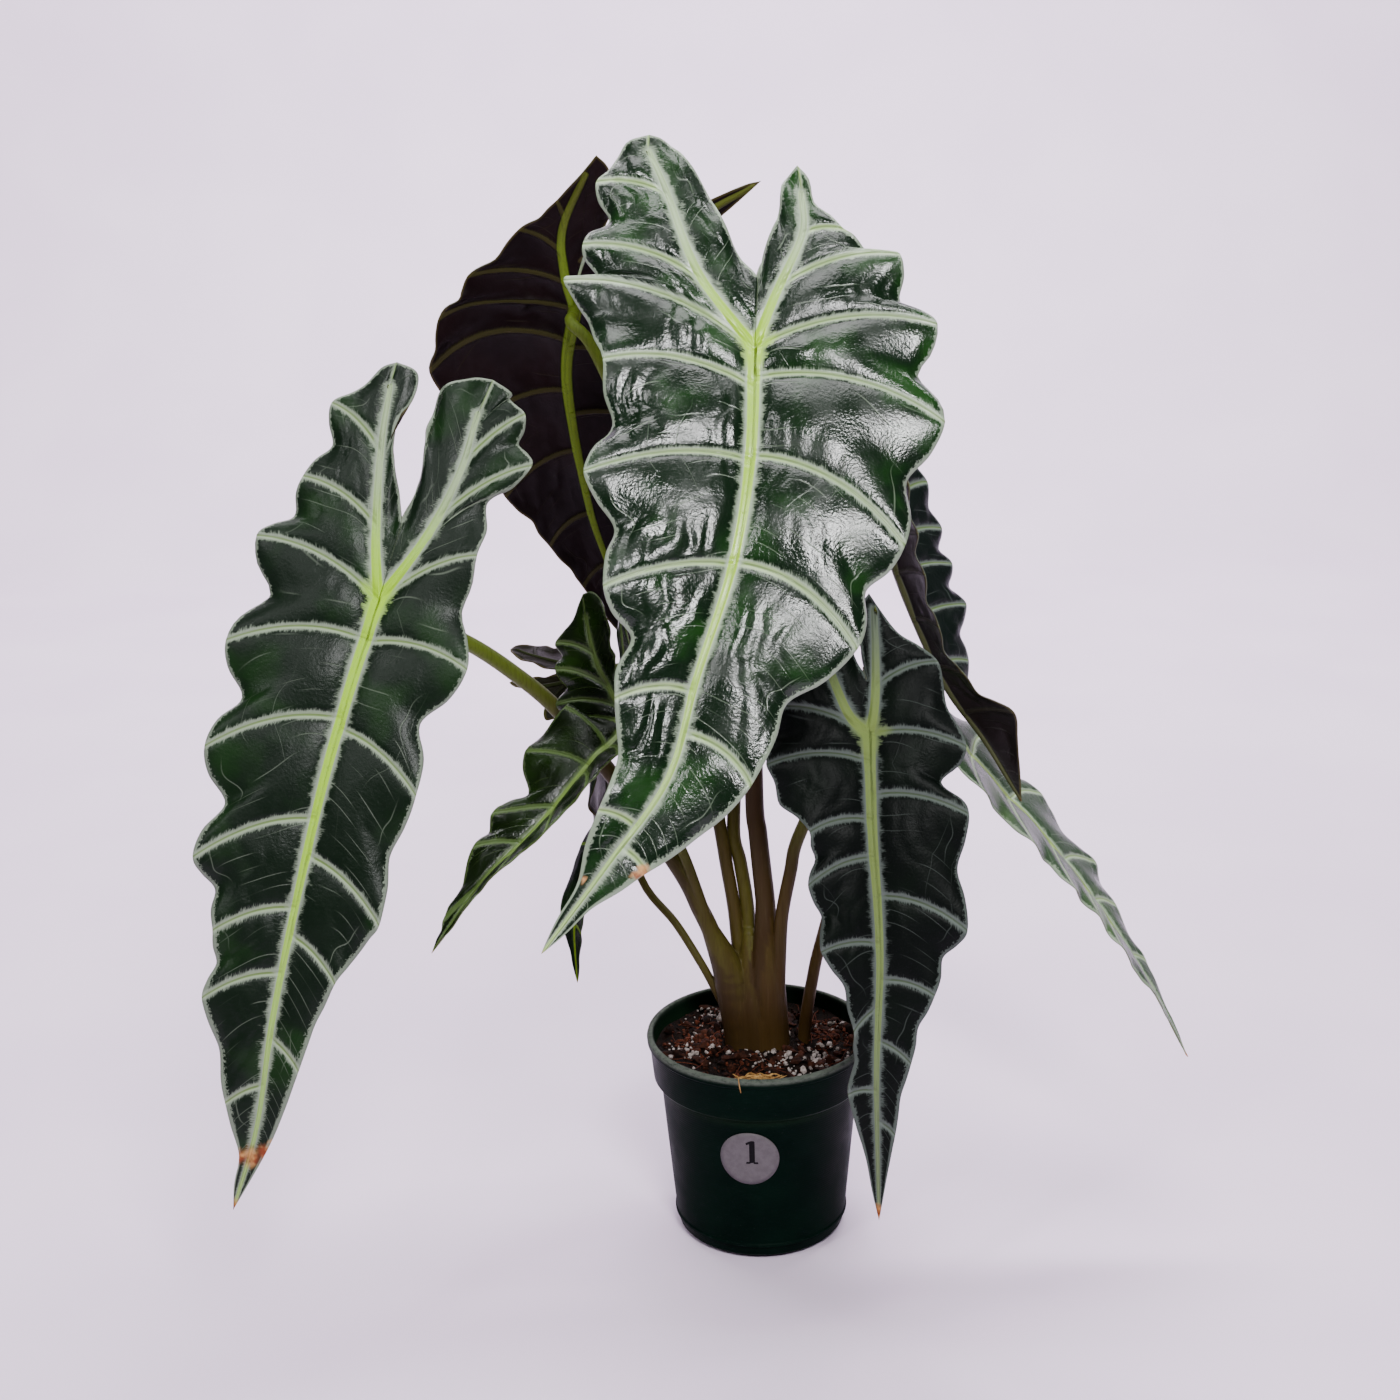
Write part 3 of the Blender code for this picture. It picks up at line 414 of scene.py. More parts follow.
def half_outline(half, shared, pitch):
    """Rib number, station, start and end of one half's rows, and how many stand on its costa."""
    node, ends = rib_nodes(half)
    lobe = divide(node[node <= 0], pitch)
    station = np.concatenate([lobe, shared[1:]])
    place = np.interp(station, node, np.arange(len(node)))
    curve = smooth_path(ends, OUTLINE_STEPS)
    margin = read_at(curve, np.arange(len(curve)), place * 2 * OUTLINE_STEPS)
    costa = smooth_path([(0, 0)] + half["costa"], OUTLINE_STEPS)
    out = read_at(costa, lengths(costa) / lengths(costa)[-1], np.clip(station / node[0], 0, 1))
    start = np.where(station[:, None] < 0, out, np.stack([0 * station, station], -1))
    return place / 2, station, start, margin, len(lobe)


def flat_leaf(outline, size):
    """The flat leaf's rows as a table, the point that each row shares, and the faces of rows.

    A row holds across, along, rib number, share of the rib, rib length, gap to the next rib, whether
    it lies on the inner side of a lobe, wave and where its rib starts.
    """
    widest = max(abs(rib[1]) for half in ("left", "right") for rib in outline[half]["ribs"])
    cols = math.ceil(widest * size / COLUMN)
    pitch = PITCH / size
    share = np.linspace(0, 1, cols + 1)
    share = share * (0.75 + 0.25 * share)
    table, faces, margins = [], [], []

    def strip(place, station, start, end, bow, side, flip):
        rib = np.linalg.norm(end - start, axis=1)
        bend = (start + end) / 2 - np.stack([0 * rib, bow * rib * np.minimum(place, 1)], -1)
        f = share[None, :, None]
        grid = (1 - f) ** 2 * start[:, None] + 2 * f * (1 - f) * bend[:, None] + f * f * end[:, None]
        step = np.gradient(grid, place, axis=0)
        way = np.gradient(grid, share, axis=1)
        cross = np.abs(step[..., 0] * way[..., 1] - step[..., 1] * way[..., 0])
        gap = np.clip(cross / np.maximum(np.linalg.norm(way, axis=-1), 0.5), 3, 60)
        shape = grid.shape[:2]
        wide = np.broadcast_to
        number = wide((0.3 + 0.4 * place / max(place[-1], 1) if bow == 0 else place)[:, None], shape)
        first = sum(len(block) for block in table)
        table.append(np.stack([side * grid[..., 0], grid[..., 1], number, wide(share[None], shape),
                               wide(rib[:, None], shape), gap, wide(float(bow == 0), shape),
                               wide(place[:, None], shape), wide(station[:, None], shape)],
                              -1).reshape(-1, 9))
        margins.append(np.stack([side * end[:, 0], end[:, 1]], -1))
        index = first + np.arange(shape[0] * shape[1]).reshape(shape)
        quads = np.stack([index[:-1, :-1], index[:-1, 1:], index[1:, 1:], index[1:, :-1]], -1)
        quads = quads.reshape(-1, 4)
        faces.append(quads if flip else quads[:, ::-1])

    nodes = np.concatenate([rib_nodes(outline[name])[0] for name in ("left", "right")])
    shared = divide(np.unique(np.append(nodes[nodes > 0], 0)), pitch)
    for name, side in (("left", -1), ("right", 1)):
        half = outline[name]
        place, station, start, margin, lobe = half_outline(half, shared, pitch)
        strip(place, station, start, margin, VEIN_BOW, side, side < 0)
        inner = [margin[0]] + half["inner"] + [(0, -outline["sinus"])]
        inner = smooth_path(inner, OUTLINE_STEPS)
        inside = read_at(inner, lengths(inner) / lengths(inner)[-1], np.linspace(0, 1, lobe))
        strip(place[:lobe], station[:lobe], start[:lobe], inside, 0, side, side > 0)
    table = np.vstack(table)
    _, first, weld = np.unique(np.round(table[:, :2], 2) + 0.0, axis=0, return_index=True,
                               return_inverse=True)
    return table, first, weld.reshape(-1), np.vstack(faces), margins


def frame_at(leaf, along):
    """The midrib's place and its across and upward vectors, at distances from the junction."""
    way = smooth_path(leaf.midrib, MIDRIB_STEPS)
    run = lengths(way) - lengths(way[:MIDRIB_STEPS + 1])[-1]
    direction = unit(read_at(unit(np.gradient(way, run, axis=0)), run, along))
    looks = np.array(leaf.looks, float)
    face = unit(read_at(looks, np.linspace(0, len(way) - 1, len(looks)), np.arange(len(way))))
    over = np.clip(along - run[-1], 0, None) + np.clip(along - run[0], None, 0)
    across = unit(np.cross(read_at(face, run, along), direction))
    return read_at(way, run, along) + direction * over[:, None], across, np.cross(direction, across)


def hang(leaf, u, v, t, f, rib):
    """The flat leaf's points laid on its midrib, folded, drooped and waved."""
    stretch = lengths(smooth_path(leaf.midrib[1:], MIDRIB_STEPS))[-1] / leaf.outline["length"]
    u, v, rib = u * leaf.size, v * np.where(v > 0, stretch, leaf.size), rib * leaf.size
    way, across, up = frame_at(leaf, v)
    side = (u > 0).astype(int)
    fold = np.radians(np.array(leaf.fold, float))[side]
    droop = np.radians(np.array(leaf.droop, float))[side] / DROOP_REACH
    reach = np.abs(u)
    out = (np.sin(fold) - np.sin(fold - droop * reach)) / droop
    rise = (np.cos(fold - droop * reach) - np.cos(fold)) / droop
    wave = leaf.wave * f ** 2 * np.cos(math.tau * t) * np.clip(rib / WAVE_RIB, 0, 1)
    panel = PANEL_RISE * rib * np.sin(math.pi * f) * (1 - np.cos(math.tau * t)) / 2
    return way + across * (np.sign(u) * out)[:, None] + up * (rise + wave + panel)[:, None]


def nearest(points, lines):
    """Each point's distance from the nearest of some lines."""
    dense = np.vstack([read_at(line, lengths(line), np.arange(0, lengths(line)[-1] + LINE_STEP, LINE_STEP))
                       for line in lines])
    tree = kdtree.KDTree(len(dense))
    for n, (x, y) in enumerate(dense):
        tree.insert((x, y, 0), n)
    tree.balance()
    return np.array([tree.find((x, y, 0))[2] for x, y in points])


def add_attribute(mesh, name, kind, domain, values):
    """Store values on a mesh for its material to read."""
    layer = mesh.attributes.new(name, kind, domain)
    layer.data.foreach_set("vector" if kind == "FLOAT_VECTOR" else "value",
                           np.ascontiguousarray(values, dtype=np.float32).reshape(-1))


def vein_scale(size):
    """How wide and high the veins of a leaf of some size are, next to those of a full one."""
    return 0.3 + 0.7 * size


def build_blade(name):
    """One leaf's blade: quilted between sunken veins above, ribbed below."""
    leaf = LEAVES[name]
    size = leaf.size
    seed = ord(name)
    table, first, weld, quads, margins = flat_leaf(leaf.outline, size)
    length = leaf.outline["length"]
    lines = [np.array([(0, 0), (0, length)], float)]
    for half, side in (("left", -1), ("right", 1)):
        costa = smooth_path([(0, 0)] + leaf.outline[half]["costa"], OUTLINE_STEPS)
        lines.append(costa * (side, 1))
    to_midrib = nearest(table[first, :2], lines)[weld] * size
    to_margin = nearest(table[first, :2], margins)[weld] * size
    u, v, number, f, rib, gap, inner, t, station = table.T
    gap = gap * size
    reach = f * rib * size
    to_vein = np.abs(number - np.round(number)) * gap
    grow = vein_scale(size)
    taper = np.where(v > 0, 1 - MIDRIB_TAPER * np.clip(v / length, 0, 1) ** 0.8,
                     COSTA_SHARE - COSTA_TAPER * np.clip(-v / COSTA_REACH, 0, 1))
    midrib_half = MIDRIB_HALF * grow * taper
    vein_half = VEIN_HALF * grow * (1 - VEIN_TAPER * f)

    crown = np.abs(np.sin(math.pi * number)) ** 0.6
    open_field = np.clip(to_margin / 5, 0, 1) * np.clip(to_midrib / 9, 0, 1)
    bulge = RELIEF[name][2] * crown * open_field * np.clip(gap / 22, 0, 1.2)
    strong = np.where(u > 0, RELIEF[name][1], RELIEF[name][0]) * (1 - 0.6 * inner)
    patch = np.clip(wander(u / 24 + 7, v / 24, seed) * 1.2 + 0.5, 0, 1) * strong
    drift = wander(u / 21, v / 21, seed + 1) + 0.5 * wander(u / 9, v / 9, seed + 5)
    pucker = np.abs(np.sin(math.pi * reach / PUCKER_PERIOD + 2.3 * drift + 2 * np.round(number)))
    pucker = (2 * pucker ** 0.8 - 1) * crown
    pucker = pucker * np.clip(to_margin / 5, 0, 1) * np.clip(to_midrib / 15, 0, 1)
    crease = np.abs(wander(u / 6, v / 6, seed + 2)) + 0.5 * np.abs(wander(u / 3, v / 3, seed + 6))
    quilt = (bulge + pucker * patch * np.clip(gap / 18, 0, 1)
             + CREASE_RISE * crease * open_field * (0.1 + strong)) * grow
    quilt += MARGIN_RISE * wander(u / 9, v / 9, seed + 3) * np.clip(1 - to_margin / 7, 0, 1) * f
    groove = VEIN_CORE * bell(to_vein, 0.7 * vein_half) - VEIN_SINK * bell(to_vein, 2 * vein_half)
    groove = groove * (1 - inner) * grow
    trough = (MIDRIB_CORE * bell(to_midrib, 0.6 * midrib_half)
              - MIDRIB_SINK * bell(to_midrib, 1.5 * midrib_half))
    half = MARGIN_HALF + (BLADE_HALF - MARGIN_HALF) * np.clip(to_margin / MARGIN_EDGE, 0, 1)
    ridge = RIDGE_RISE * grow * bell(to_vein, 1.1 * vein_half) * (1 - 0.6 * f) * (1 - inner)
    keel = KEEL_RISE * grow * bell(to_midrib, 0.9 * midrib_half) * taper
    fade = np.clip(to_margin / 2.5, 0, 1)
    above = quilt + (groove + trough * grow) * fade + half
    below = quilt - (np.maximum(ridge, keel) * fade + half)

    base = hang(leaf, u, v, t, f, rib)
    shells, rows = [], []
    for face, row in zip(weld[quads].tolist(), quads.tolist()):
        keep = [k for k in range(4) if face[k] not in face[:k]]
        if len(keep) > 2:
            shells.append([face[k] for k in keep])
            rows.append([row[k] for k in keep])
    sheet = bpy.data.meshes.new("sheet")
    sheet.from_pydata(base[first] * MM, [], shells)
    sheet.update()
    normal = np.empty(len(first) * 3, np.float32)
    sheet.vertex_normals.foreach_get("vector", normal)
    normal = normal.reshape(-1, 3)
    bpy.data.meshes.remove(sheet)

    count = len(first)
    points = np.vstack([base[first] + normal * above[first, None],
                        base[first] + normal * below[first, None]]) * MM
    once = {}
    for face, row in zip(shells, rows):
        for k in range(len(face)):
            pair = (face[k - 1], face[k])
            if pair[::-1] in once:
                del once[pair[::-1]]
            else:
                once[pair] = (row[k - 1], row[k])
    rim = [[b, a, a + count, b + count] for a, b in once]
    rim_rows = [[b, a, a, b] for a, b in once.values()]
    under = [[q + count for q in reversed(face)] for face in shells]
    under_rows = [list(reversed(row)) for row in rows]
    mesh = bpy.data.meshes.new("blade_" + name.lower())
    mesh.from_pydata(points, [], shells + under + rim)
    flat_rows = np.concatenate([np.array(sum(group, [])) for group in (rows, under_rows, rim_rows)])
    spots, tip = DRY[name]
    rust = np.clip((v - tip) / 3, 0, 1)
    for across, along, radius in spots:
        away = np.hypot(u - across, v - along) + 1.2 * wander(u / 2, v / 2, seed + 4)
        rust = np.maximum(rust, np.clip(1.6 - away / radius, 0, 1))
    corner_sets = {
        "rib": (number + 20 * (u > 0), reach, gap),
        "place": (v * size, to_midrib, to_margin),
        "tone": (midrib_half, f, rust),
        "run": (station * size, u > 0, v / length),
    }
    for key, parts in corner_sets.items():
        add_attribute(mesh, key, "FLOAT_VECTOR", "CORNER", np.stack(parts, -1)[flat_rows])
    side = np.repeat([0.0, 1.0, 0.5], [len(shells), len(under), len(rim)])
    add_attribute(mesh, "under", "FLOAT", "FACE", side)
    mesh.validate()
    mesh.shade_smooth()
    return add_object("blade_" + name.lower(), mesh)


# Stems

def tube(name, points, radii, sides):
    """A round stem through the points, with radii at its two ends or at every point."""
    path = smooth_path(points, STEM_STEPS)
    run = lengths(path)
    radius = np.interp(run, run[::STEM_STEPS] if len(radii) > 2 else run[[0, -1]], radii)
    curve = bpy.data.curves.new(name, "CURVE")
    curve.dimensions = "3D"
    curve.bevel_depth = MM
    curve.bevel_resolution = sides
    curve.use_fill_caps = True
    line = curve.splines.new("POLY")
    line.points.add(len(path) - 1)
    for point, place, r in zip(line.points, path, radius):
        point.co = (*(place * MM), 1)
        point.radius = float(r)
    guide = add_object(name, curve)
    bpy.context.view_layer.update()
    mesh = bpy.data.meshes.new_from_object(guide.evaluated_get(bpy.context.evaluated_depsgraph_get()))
    bpy.data.objects.remove(guide)
    body = bmesh.new()
    body.from_mesh(mesh)
    bmesh.ops.remove_doubles(body, verts=body.verts, dist=1e-6)
    bmesh.ops.recalc_face_normals(body, faces=body.faces)
    body.to_mesh(mesh)
    body.free()
    return add_object(name, mesh), path


def stem_points(name):
    """A stem's points, ending square in its blade's midrib."""
    way, _, up = (q[0] for q in frame_at(LEAVES[name], np.array([0.0])))
    return STEMS[name][0] + [tuple(way - up * reach) for reach in (STEM_FLARE, STEM_FLARE / 2, 2.6, 0.6)]


def build_stems(names, sheaths, title):
    """Stems joined in one body, with the share of its length and the tone of each kept."""
    bodies, paths = [], []
    for name in names:
        thing, path = tube(title, stem_points(name), STEMS[name][1], 6)
        bodies.append(thing)
        paths.append((path, STEM_TONE[name]))
    for points, radii in sheaths:
        bodies.append(tube(title, points, radii, 10)[0])
    stems = bodies[0]
    if len(bodies) > 1:
        combine(stems, bodies[1:], "UNION")
    stems.name = stems.data.name = title
    tree = kdtree.KDTree(sum(len(path) for path, _ in paths))
    facts = []
    for path, tone in paths:
        run = lengths(path)
        for place, share in zip(path, run / run[-1]):
            tree.insert(place * MM, len(facts))
            facts.append((share, *tone))
    tree.balance()
    values = [facts[tree.find(vert.co)[1]] for vert in stems.data.vertices]
    add_attribute(stems.data, "stem", "FLOAT_VECTOR", "POINT", values)
    stems.data.shade_smooth()
    return stems


# Pot, label and mix

def build_pot():
    """The pot drawn out ring by ring from the middle of its floor, inside to outside."""
    deselect()
    profile = POT_INNER + POT_OUTER
    radius, height = profile[0]
    bpy.ops.mesh.primitive_circle_add(vertices=POT_SIDES, radius=radius * MM, fill_type="TRIFAN",
                                      location=(0, 0, height * MM))
    pot = bpy.context.object
    pot.name = pot.data.name = "pot_shell"
    bpy.ops.object.mode_set(mode="EDIT")
    bpy.ops.mesh.select_all(action="SELECT")
    bpy.ops.mesh.region_to_loop()
    for wide, high in profile[1:]:
        bpy.ops.mesh.extrude_edges_move(TRANSFORM_OT_translate={"value": (0, 0, (high - height) * MM)})
        scale = wide / radius
        bpy.ops.transform.resize(value=(scale, scale, 1), center_override=(0, 0, high * MM))
        radius, height = wide, high
    bpy.ops.mesh.edge_face_add()
    bpy.ops.mesh.inset(thickness=radius * 0.05 * MM)
    bpy.ops.mesh.poke()
    bpy.ops.mesh.select_all(action="SELECT")
    bpy.ops.mesh.normals_make_consistent(inside=False)
    deselect()
    holes = []
    for n in range(DRAIN_COUNT):
        turn = math.tau * (n + 0.5) / DRAIN_COUNT
        bpy.ops.mesh.primitive_cylinder_add(
            vertices=32, radius=DRAIN_RADIUS * MM, depth=4 * FLOOR_TOP * MM,
            location=(DRAIN_RING * MM * math.cos(turn), DRAIN_RING * MM * math.sin(turn), 0))
        holes.append(bpy.context.object)
    combine(pot, holes, "DIFFERENCE")
    edge = pot.modifiers.new("edge", "BEVEL")
    edge.width, edge.segments, edge.angle_limit = POT_EDGE * MM, 2, math.radians(28)
    apply_all(pot)
    pot.data.shade_smooth()
    pot.data.set_sharp_from_angle(angle=math.radians(40))
    return pot


def wrap(thing, lift):
    """Bend a flat piece, drawn in millimetres about the label's middle, round the pot's wall."""
    flare = (WALL_TOP[0] - WALL_FOOT[0]) / (WALL_TOP[1] - WALL_FOOT[1])
    for vert in thing.data.vertices:
        x, y, _ = vert.co
        z = LABEL_HEIGHT + y
        radius = WALL_FOOT[0] + flare * (z - WALL_FOOT[1]) + lift
        turn = math.radians(LABEL_TURN - 90) + x / radius
        vert.co = (radius * MM * math.cos(turn), radius * MM * math.sin(turn), z * MM)
    thing.data.update()


def build_label():
    """A round paper sticker with a slightly raised plain numeral."""
    deselect()
    bpy.ops.mesh.primitive_circle_add(vertices=72, radius=LABEL_RADIUS, fill_type="NGON")
    label = bpy.context.object
    label.name = label.data.name = "label_disc"
    bpy.ops.object.mode_set(mode="EDIT")
    bpy.ops.mesh.select_all(action="SELECT")
    for _ in range(5):
        bpy.ops.mesh.inset(thickness=LABEL_RADIUS / 6)
    bpy.ops.mesh.poke()
    deselect()
    wrap(label, LABEL_LIFT)
    label.data.shade_smooth()
    solid = label.modifiers.new("solid", "SOLIDIFY")
    solid.thickness, solid.offset = LABEL_THICK * MM, 1
    apply_all(label)

    # A plain numeral: an upright with a short flag and a foot, cut in bands that bend with the paper.
    half, top, foot = 1.3, 9.8, -2.7
    outline = [(-half, foot + 1.0), (-2.7, foot + 1.0), (-2.9, foot), (2.9, foot),
               (2.7, foot + 1.0), (half, foot + 1.0), (half, top - 0.5), (half - 0.5, top),
               (-0.5, top), (-1.7, top - 0.5), (-3.0, top - 1.3), (-2.7, top - 2.3), (-half, top - 1.7)]
    mesh = bpy.data.meshes.new("label_numeral")
    mesh.from_pydata([(x + 1.3, y, 0) for x, y in outline], [], [list(range(len(outline)))])
    numeral = add_object("label_numeral", mesh)
    body = bmesh.new()
    body.from_mesh(mesh)
    for height in np.arange(foot + 2, top - 2, 1.0):
        bmesh.ops.bisect_plane(body, geom=body.verts[:] + body.edges[:] + body.faces[:],
                               plane_co=(0, height, 0), plane_no=(0, 1, 0))
    body.normal_update()
    body.to_mesh(mesh)
    body.free()
    wrap(numeral, LABEL_LIFT + LABEL_THICK - INK_SINK)
    solid = numeral.modifiers.new("solid", "SOLIDIFY")
    solid.thickness, solid.offset = INK_THICK * MM, 1
    apply_all(numeral)
    return label, numeral


def lump(body, draw, place, radius, squash, rough):
    """Add one irregular grain."""
    centre = Vector(place) * MM
    turn = Matrix.Rotation(draw.uniform(0, math.tau), 4, Vector((draw.random(), draw.random(), 1)))
    shape = Matrix.Diagonal((*squash, 1))
    made = bmesh.ops.create_icosphere(body, subdivisions=1, radius=radius * MM,
                                      matrix=Matrix.Translation(centre) @ turn @ shape)
    for vert in made["verts"]:
        vert.co = centre + (vert.co - centre) * (1 + draw.uniform(-rough, rough))


def soil_height(x, y):
    """The height of the mix, heaped a little round the trunk."""
    heap = 1.6 * math.exp(-((x / 30) ** 2 + (y / 22) ** 2))
    return SOIL_TOP + heap + 0.9 * math.sin(x * 0.21 + 1) * math.cos(y * 0.17)


def is_free(x, y, margin):
    """Whether a place on the mix is clear of the trunk and of the pot's wall."""
    trunk = math.hypot(x / (TRUNK_HALF[0] + margin), y / (TRUNK_HALF[1] + margin))
    return math.hypot(x, y) < SOIL_REACH - margin and trunk > 1


def free_place(draw, margin):
    """A random free place on the mix."""
    while True:
        x, y = draw.uniform(-1, 1) * SOIL_REACH, draw.uniform(-1, 1) * SOIL_REACH
        if is_free(x, y, margin):
            return x, y


def build_soil():
    """The fill of the pot, with a crumbly top."""
    draw = random.Random(5)
    body = bmesh.new()
    grid = []
    turns = [math.tau * k / SOIL_STEPS for k in range(SOIL_STEPS)]
    for n in range(1, SOIL_RINGS + 1):
        radius = SOIL_RADIUS * n / SOIL_RINGS
        row = []
        for turn in turns:
            x, y = radius * math.cos(turn), radius * math.sin(turn)
            crumb = draw.uniform(-SOIL_CRUMB, SOIL_CRUMB) * (0.2 if n == SOIL_RINGS else 1)
            row.append(body.verts.new((x * MM, y * MM, (soil_height(x, y) - 0.8 + crumb) * MM)))
        grid.append(row)
    centre = body.verts.new((0, 0, SOIL_TOP * MM))
    for radius, z in SOIL_SIDE:
        grid.append([body.verts.new((radius * MM * math.cos(turn), radius * MM * math.sin(turn), z * MM))
                     for turn in turns])
    for k in range(SOIL_STEPS):
        m = (k + 1) % SOIL_STEPS
        body.faces.new((centre, grid[0][k], grid[0][m]))
        for a, b in zip(grid, grid[1:]):
            body.faces.new((a[k], b[k], b[m], a[m]))
    body.faces.new(grid[-1][::-1])
    bmesh.ops.recalc_face_normals(body, faces=body.faces)
    return finish_mesh("soil_bed", body)


def scatter(draw, patches, spread, margin):
    """Places that gather round some patches of the mix, each given as x, y and a count."""
    for x, y, count in patches:
        while count:
            a, b = draw.gauss(x, spread), draw.gauss(y, spread)
            if is_free(a, b, margin):
                count -= 1
                yield a, b


def build_perlite():
    """Whitish grains, gathered at the front and at the back."""
    draw = random.Random(21)
    body = bmesh.new()
    for x, y in scatter(draw, PERLITE, 8, 2.2):
        size = draw.random()
        radius = draw.uniform(0.4, 0.9) if size < 0.6 else draw.uniform(0.9, 1.6 if size < 0.88 else 2.4)
        place = (x, y, soil_height(x, y) + radius * 0.35)
        lump(body, draw, place, radius, (1, draw.uniform(0.6, 1), draw.uniform(0.55, 0.95)), 0.22)
    return finish_mesh("perlite", body)


def build_bark():
    """Brown chips and crumbs of bark."""
    draw = random.Random(34)
    body = bmesh.new()
    for _ in range(420):
        x, y = free_place(draw, 1.5)
        radius = draw.uniform(0.9, 1.9) if draw.random() < 0.7 else draw.uniform(2.0, 4.0)
        place = (x, y, soil_height(x, y) - 0.2 + radius * 0.2)
        flat = (1, draw.uniform(0.45, 0.8), draw.uniform(0.25, 0.55))
        lump(body, draw, place, radius, flat, 0.2)
    for x, y, radius in ((-8, -15, 4.4), (-2, -17, 3.8), (20, -9, 3.0), (-26, 12, 3.4)):
        lump(body, draw, (x, y, soil_height(x, y) + 0.4), radius, (1, 0.7, 0.55), 0.2)
    return finish_mesh("bark", body)


def build_coir_dust():
    """Red-brown crumbs of coir, gathered in patches."""
    draw = random.Random(55)
    body = bmesh.new()
    for x, y in scatter(draw, COIR_PATCHES, 8, 1.5):
        radius = draw.uniform(0.5, 1.5)
        lump(body, draw, (x, y, soil_height(x, y) + 0.5), radius, (1, draw.uniform(0.5, 0.9), 0.6), 0.25)
    return finish_mesh("coir_dust", body)


def strand(body, points, radius):
    """Add a thin round strand along the points, closed at both ends."""
    path = smooth_path(points, 4)
    way = unit(np.gradient(path, axis=0))
    rings = []
    for n, (place, ahead) in enumerate(zip(path, way)):
        beside = unit(np.cross(ahead, (0.13, 0.2, 1)))
        above = np.cross(beside, ahead)
        r = radius * (0.35 if n in (0, len(path) - 1) else 1)
        rings.append([body.verts.new((place + r * (beside * math.cos(a) + above * math.sin(a))) * MM)
                      for a in np.arange(STRAND_SIDES) * math.tau / STRAND_SIDES])
    for a, b in zip(rings, rings[1:]):
        for k in range(STRAND_SIDES):
            m = (k + 1) % STRAND_SIDES
            body.faces.new((a[k], a[m], b[m], b[k]))
    body.faces.new(rings[0][::-1])
    body.faces.new(rings[-1])


def build_fibres():
    """Fine red-brown coir hairs and a few straws at the front of the rim."""
    draw = random.Random(8)
    coir, straw = bmesh.new(), bmesh.new()
    for _ in range(64):
        x, y = free_place(draw, 4)
        turn, reach = draw.uniform(0, math.tau), draw.uniform(3, 7)
        ends = []
        for step in (-1, -0.3, 0.4, 1):
            a, b = x + step * reach * math.cos(turn), y + step * reach * math.sin(turn)
            a, b = a + draw.uniform(-1.2, 1.2), b + draw.uniform(-1.2, 1.2)
            keep = min(1, SOIL_REACH / math.hypot(a, b))
            ends.append((a * keep, b * keep, soil_height(a, b) + draw.uniform(0.5, 1.9)))
        strand(coir, ends, draw.uniform(0.10, 0.18))
    for _ in range(12):
        a, b = sorted((math.radians(draw.uniform(-112, -96)), math.radians(draw.uniform(-90, -74))))
        radius = draw.uniform(43.5, 48.4)
        ends = [((radius + draw.uniform(-0.8, 0.8)) * math.cos(c), radius * math.sin(c),
                 SOIL_TOP + 3.6 + draw.uniform(0, 3.8)) for c in np.linspace(a, b, 5)]
        strand(straw, ends, draw.uniform(0.2, 0.42))
    turn = math.radians(-103)
    over = [(46.5, 94.0), (50.5, 98.2), (52.5, 99.7), (54.0, 98.6), (54.2, 96.0), (53.6, 92.6)]
    strand(straw, [(r * math.cos(turn) + 0.4 * n, r * math.sin(turn), z) for n, (r, z) in enumerate(over)],
           0.28)
    for body in (coir, straw):
        bmesh.ops.recalc_face_normals(body, faces=body.faces)
    return finish_mesh("coir", coir), finish_mesh("straw", straw)


# Materials

class Wire:
    """A node's output. Sums, products and comparisons of wires add Math nodes."""

    def __init__(self, paint, socket):
        self.paint, self.socket = paint, socket

    def out(self, name):
        return Wire(self.paint, self.socket.node.outputs[name])

    def math(self, operation, *values):
        return self.paint.node("Math", {"operation": operation}, *values)

    def __add__(self, other):
        return self.math("ADD", self, other)

    def __sub__(self, other):
        return self.math("SUBTRACT", self, other)

    def __rsub__(self, other):
        return self.math("SUBTRACT", other, self)

    def __mul__(self, other):
        return self.math("MULTIPLY", self, other)

    def __truediv__(self, other):
        return self.math("DIVIDE", self, other)

    def __pow__(self, other):
        return self.math("POWER", self, other)

    __radd__, __rmul__ = __add__, __mul__

    def abs(self):
        return self.math("ABSOLUTE", self)

    def sin(self):
        return self.math("SINE", self)

    def most(self, other):
        return self.math("MAXIMUM", self, other)

    def least(self, other):
        return self.math("MINIMUM", self, other)

    def rounded(self):
        return self.math("ROUND", self)

    def off_line(self):
        """Distance from the nearest whole number."""
        return (self - self.rounded()).abs()

    def ramp(self, low, high, start=0.0, end=1.0):
        """A smooth step from start, at low, to end, at high."""
        return self.paint.node("MapRange", {"interpolation_type": "SMOOTHSTEP"}, Value=self,
                               From_Min=low, From_Max=high, To_Min=start, To_Max=end)


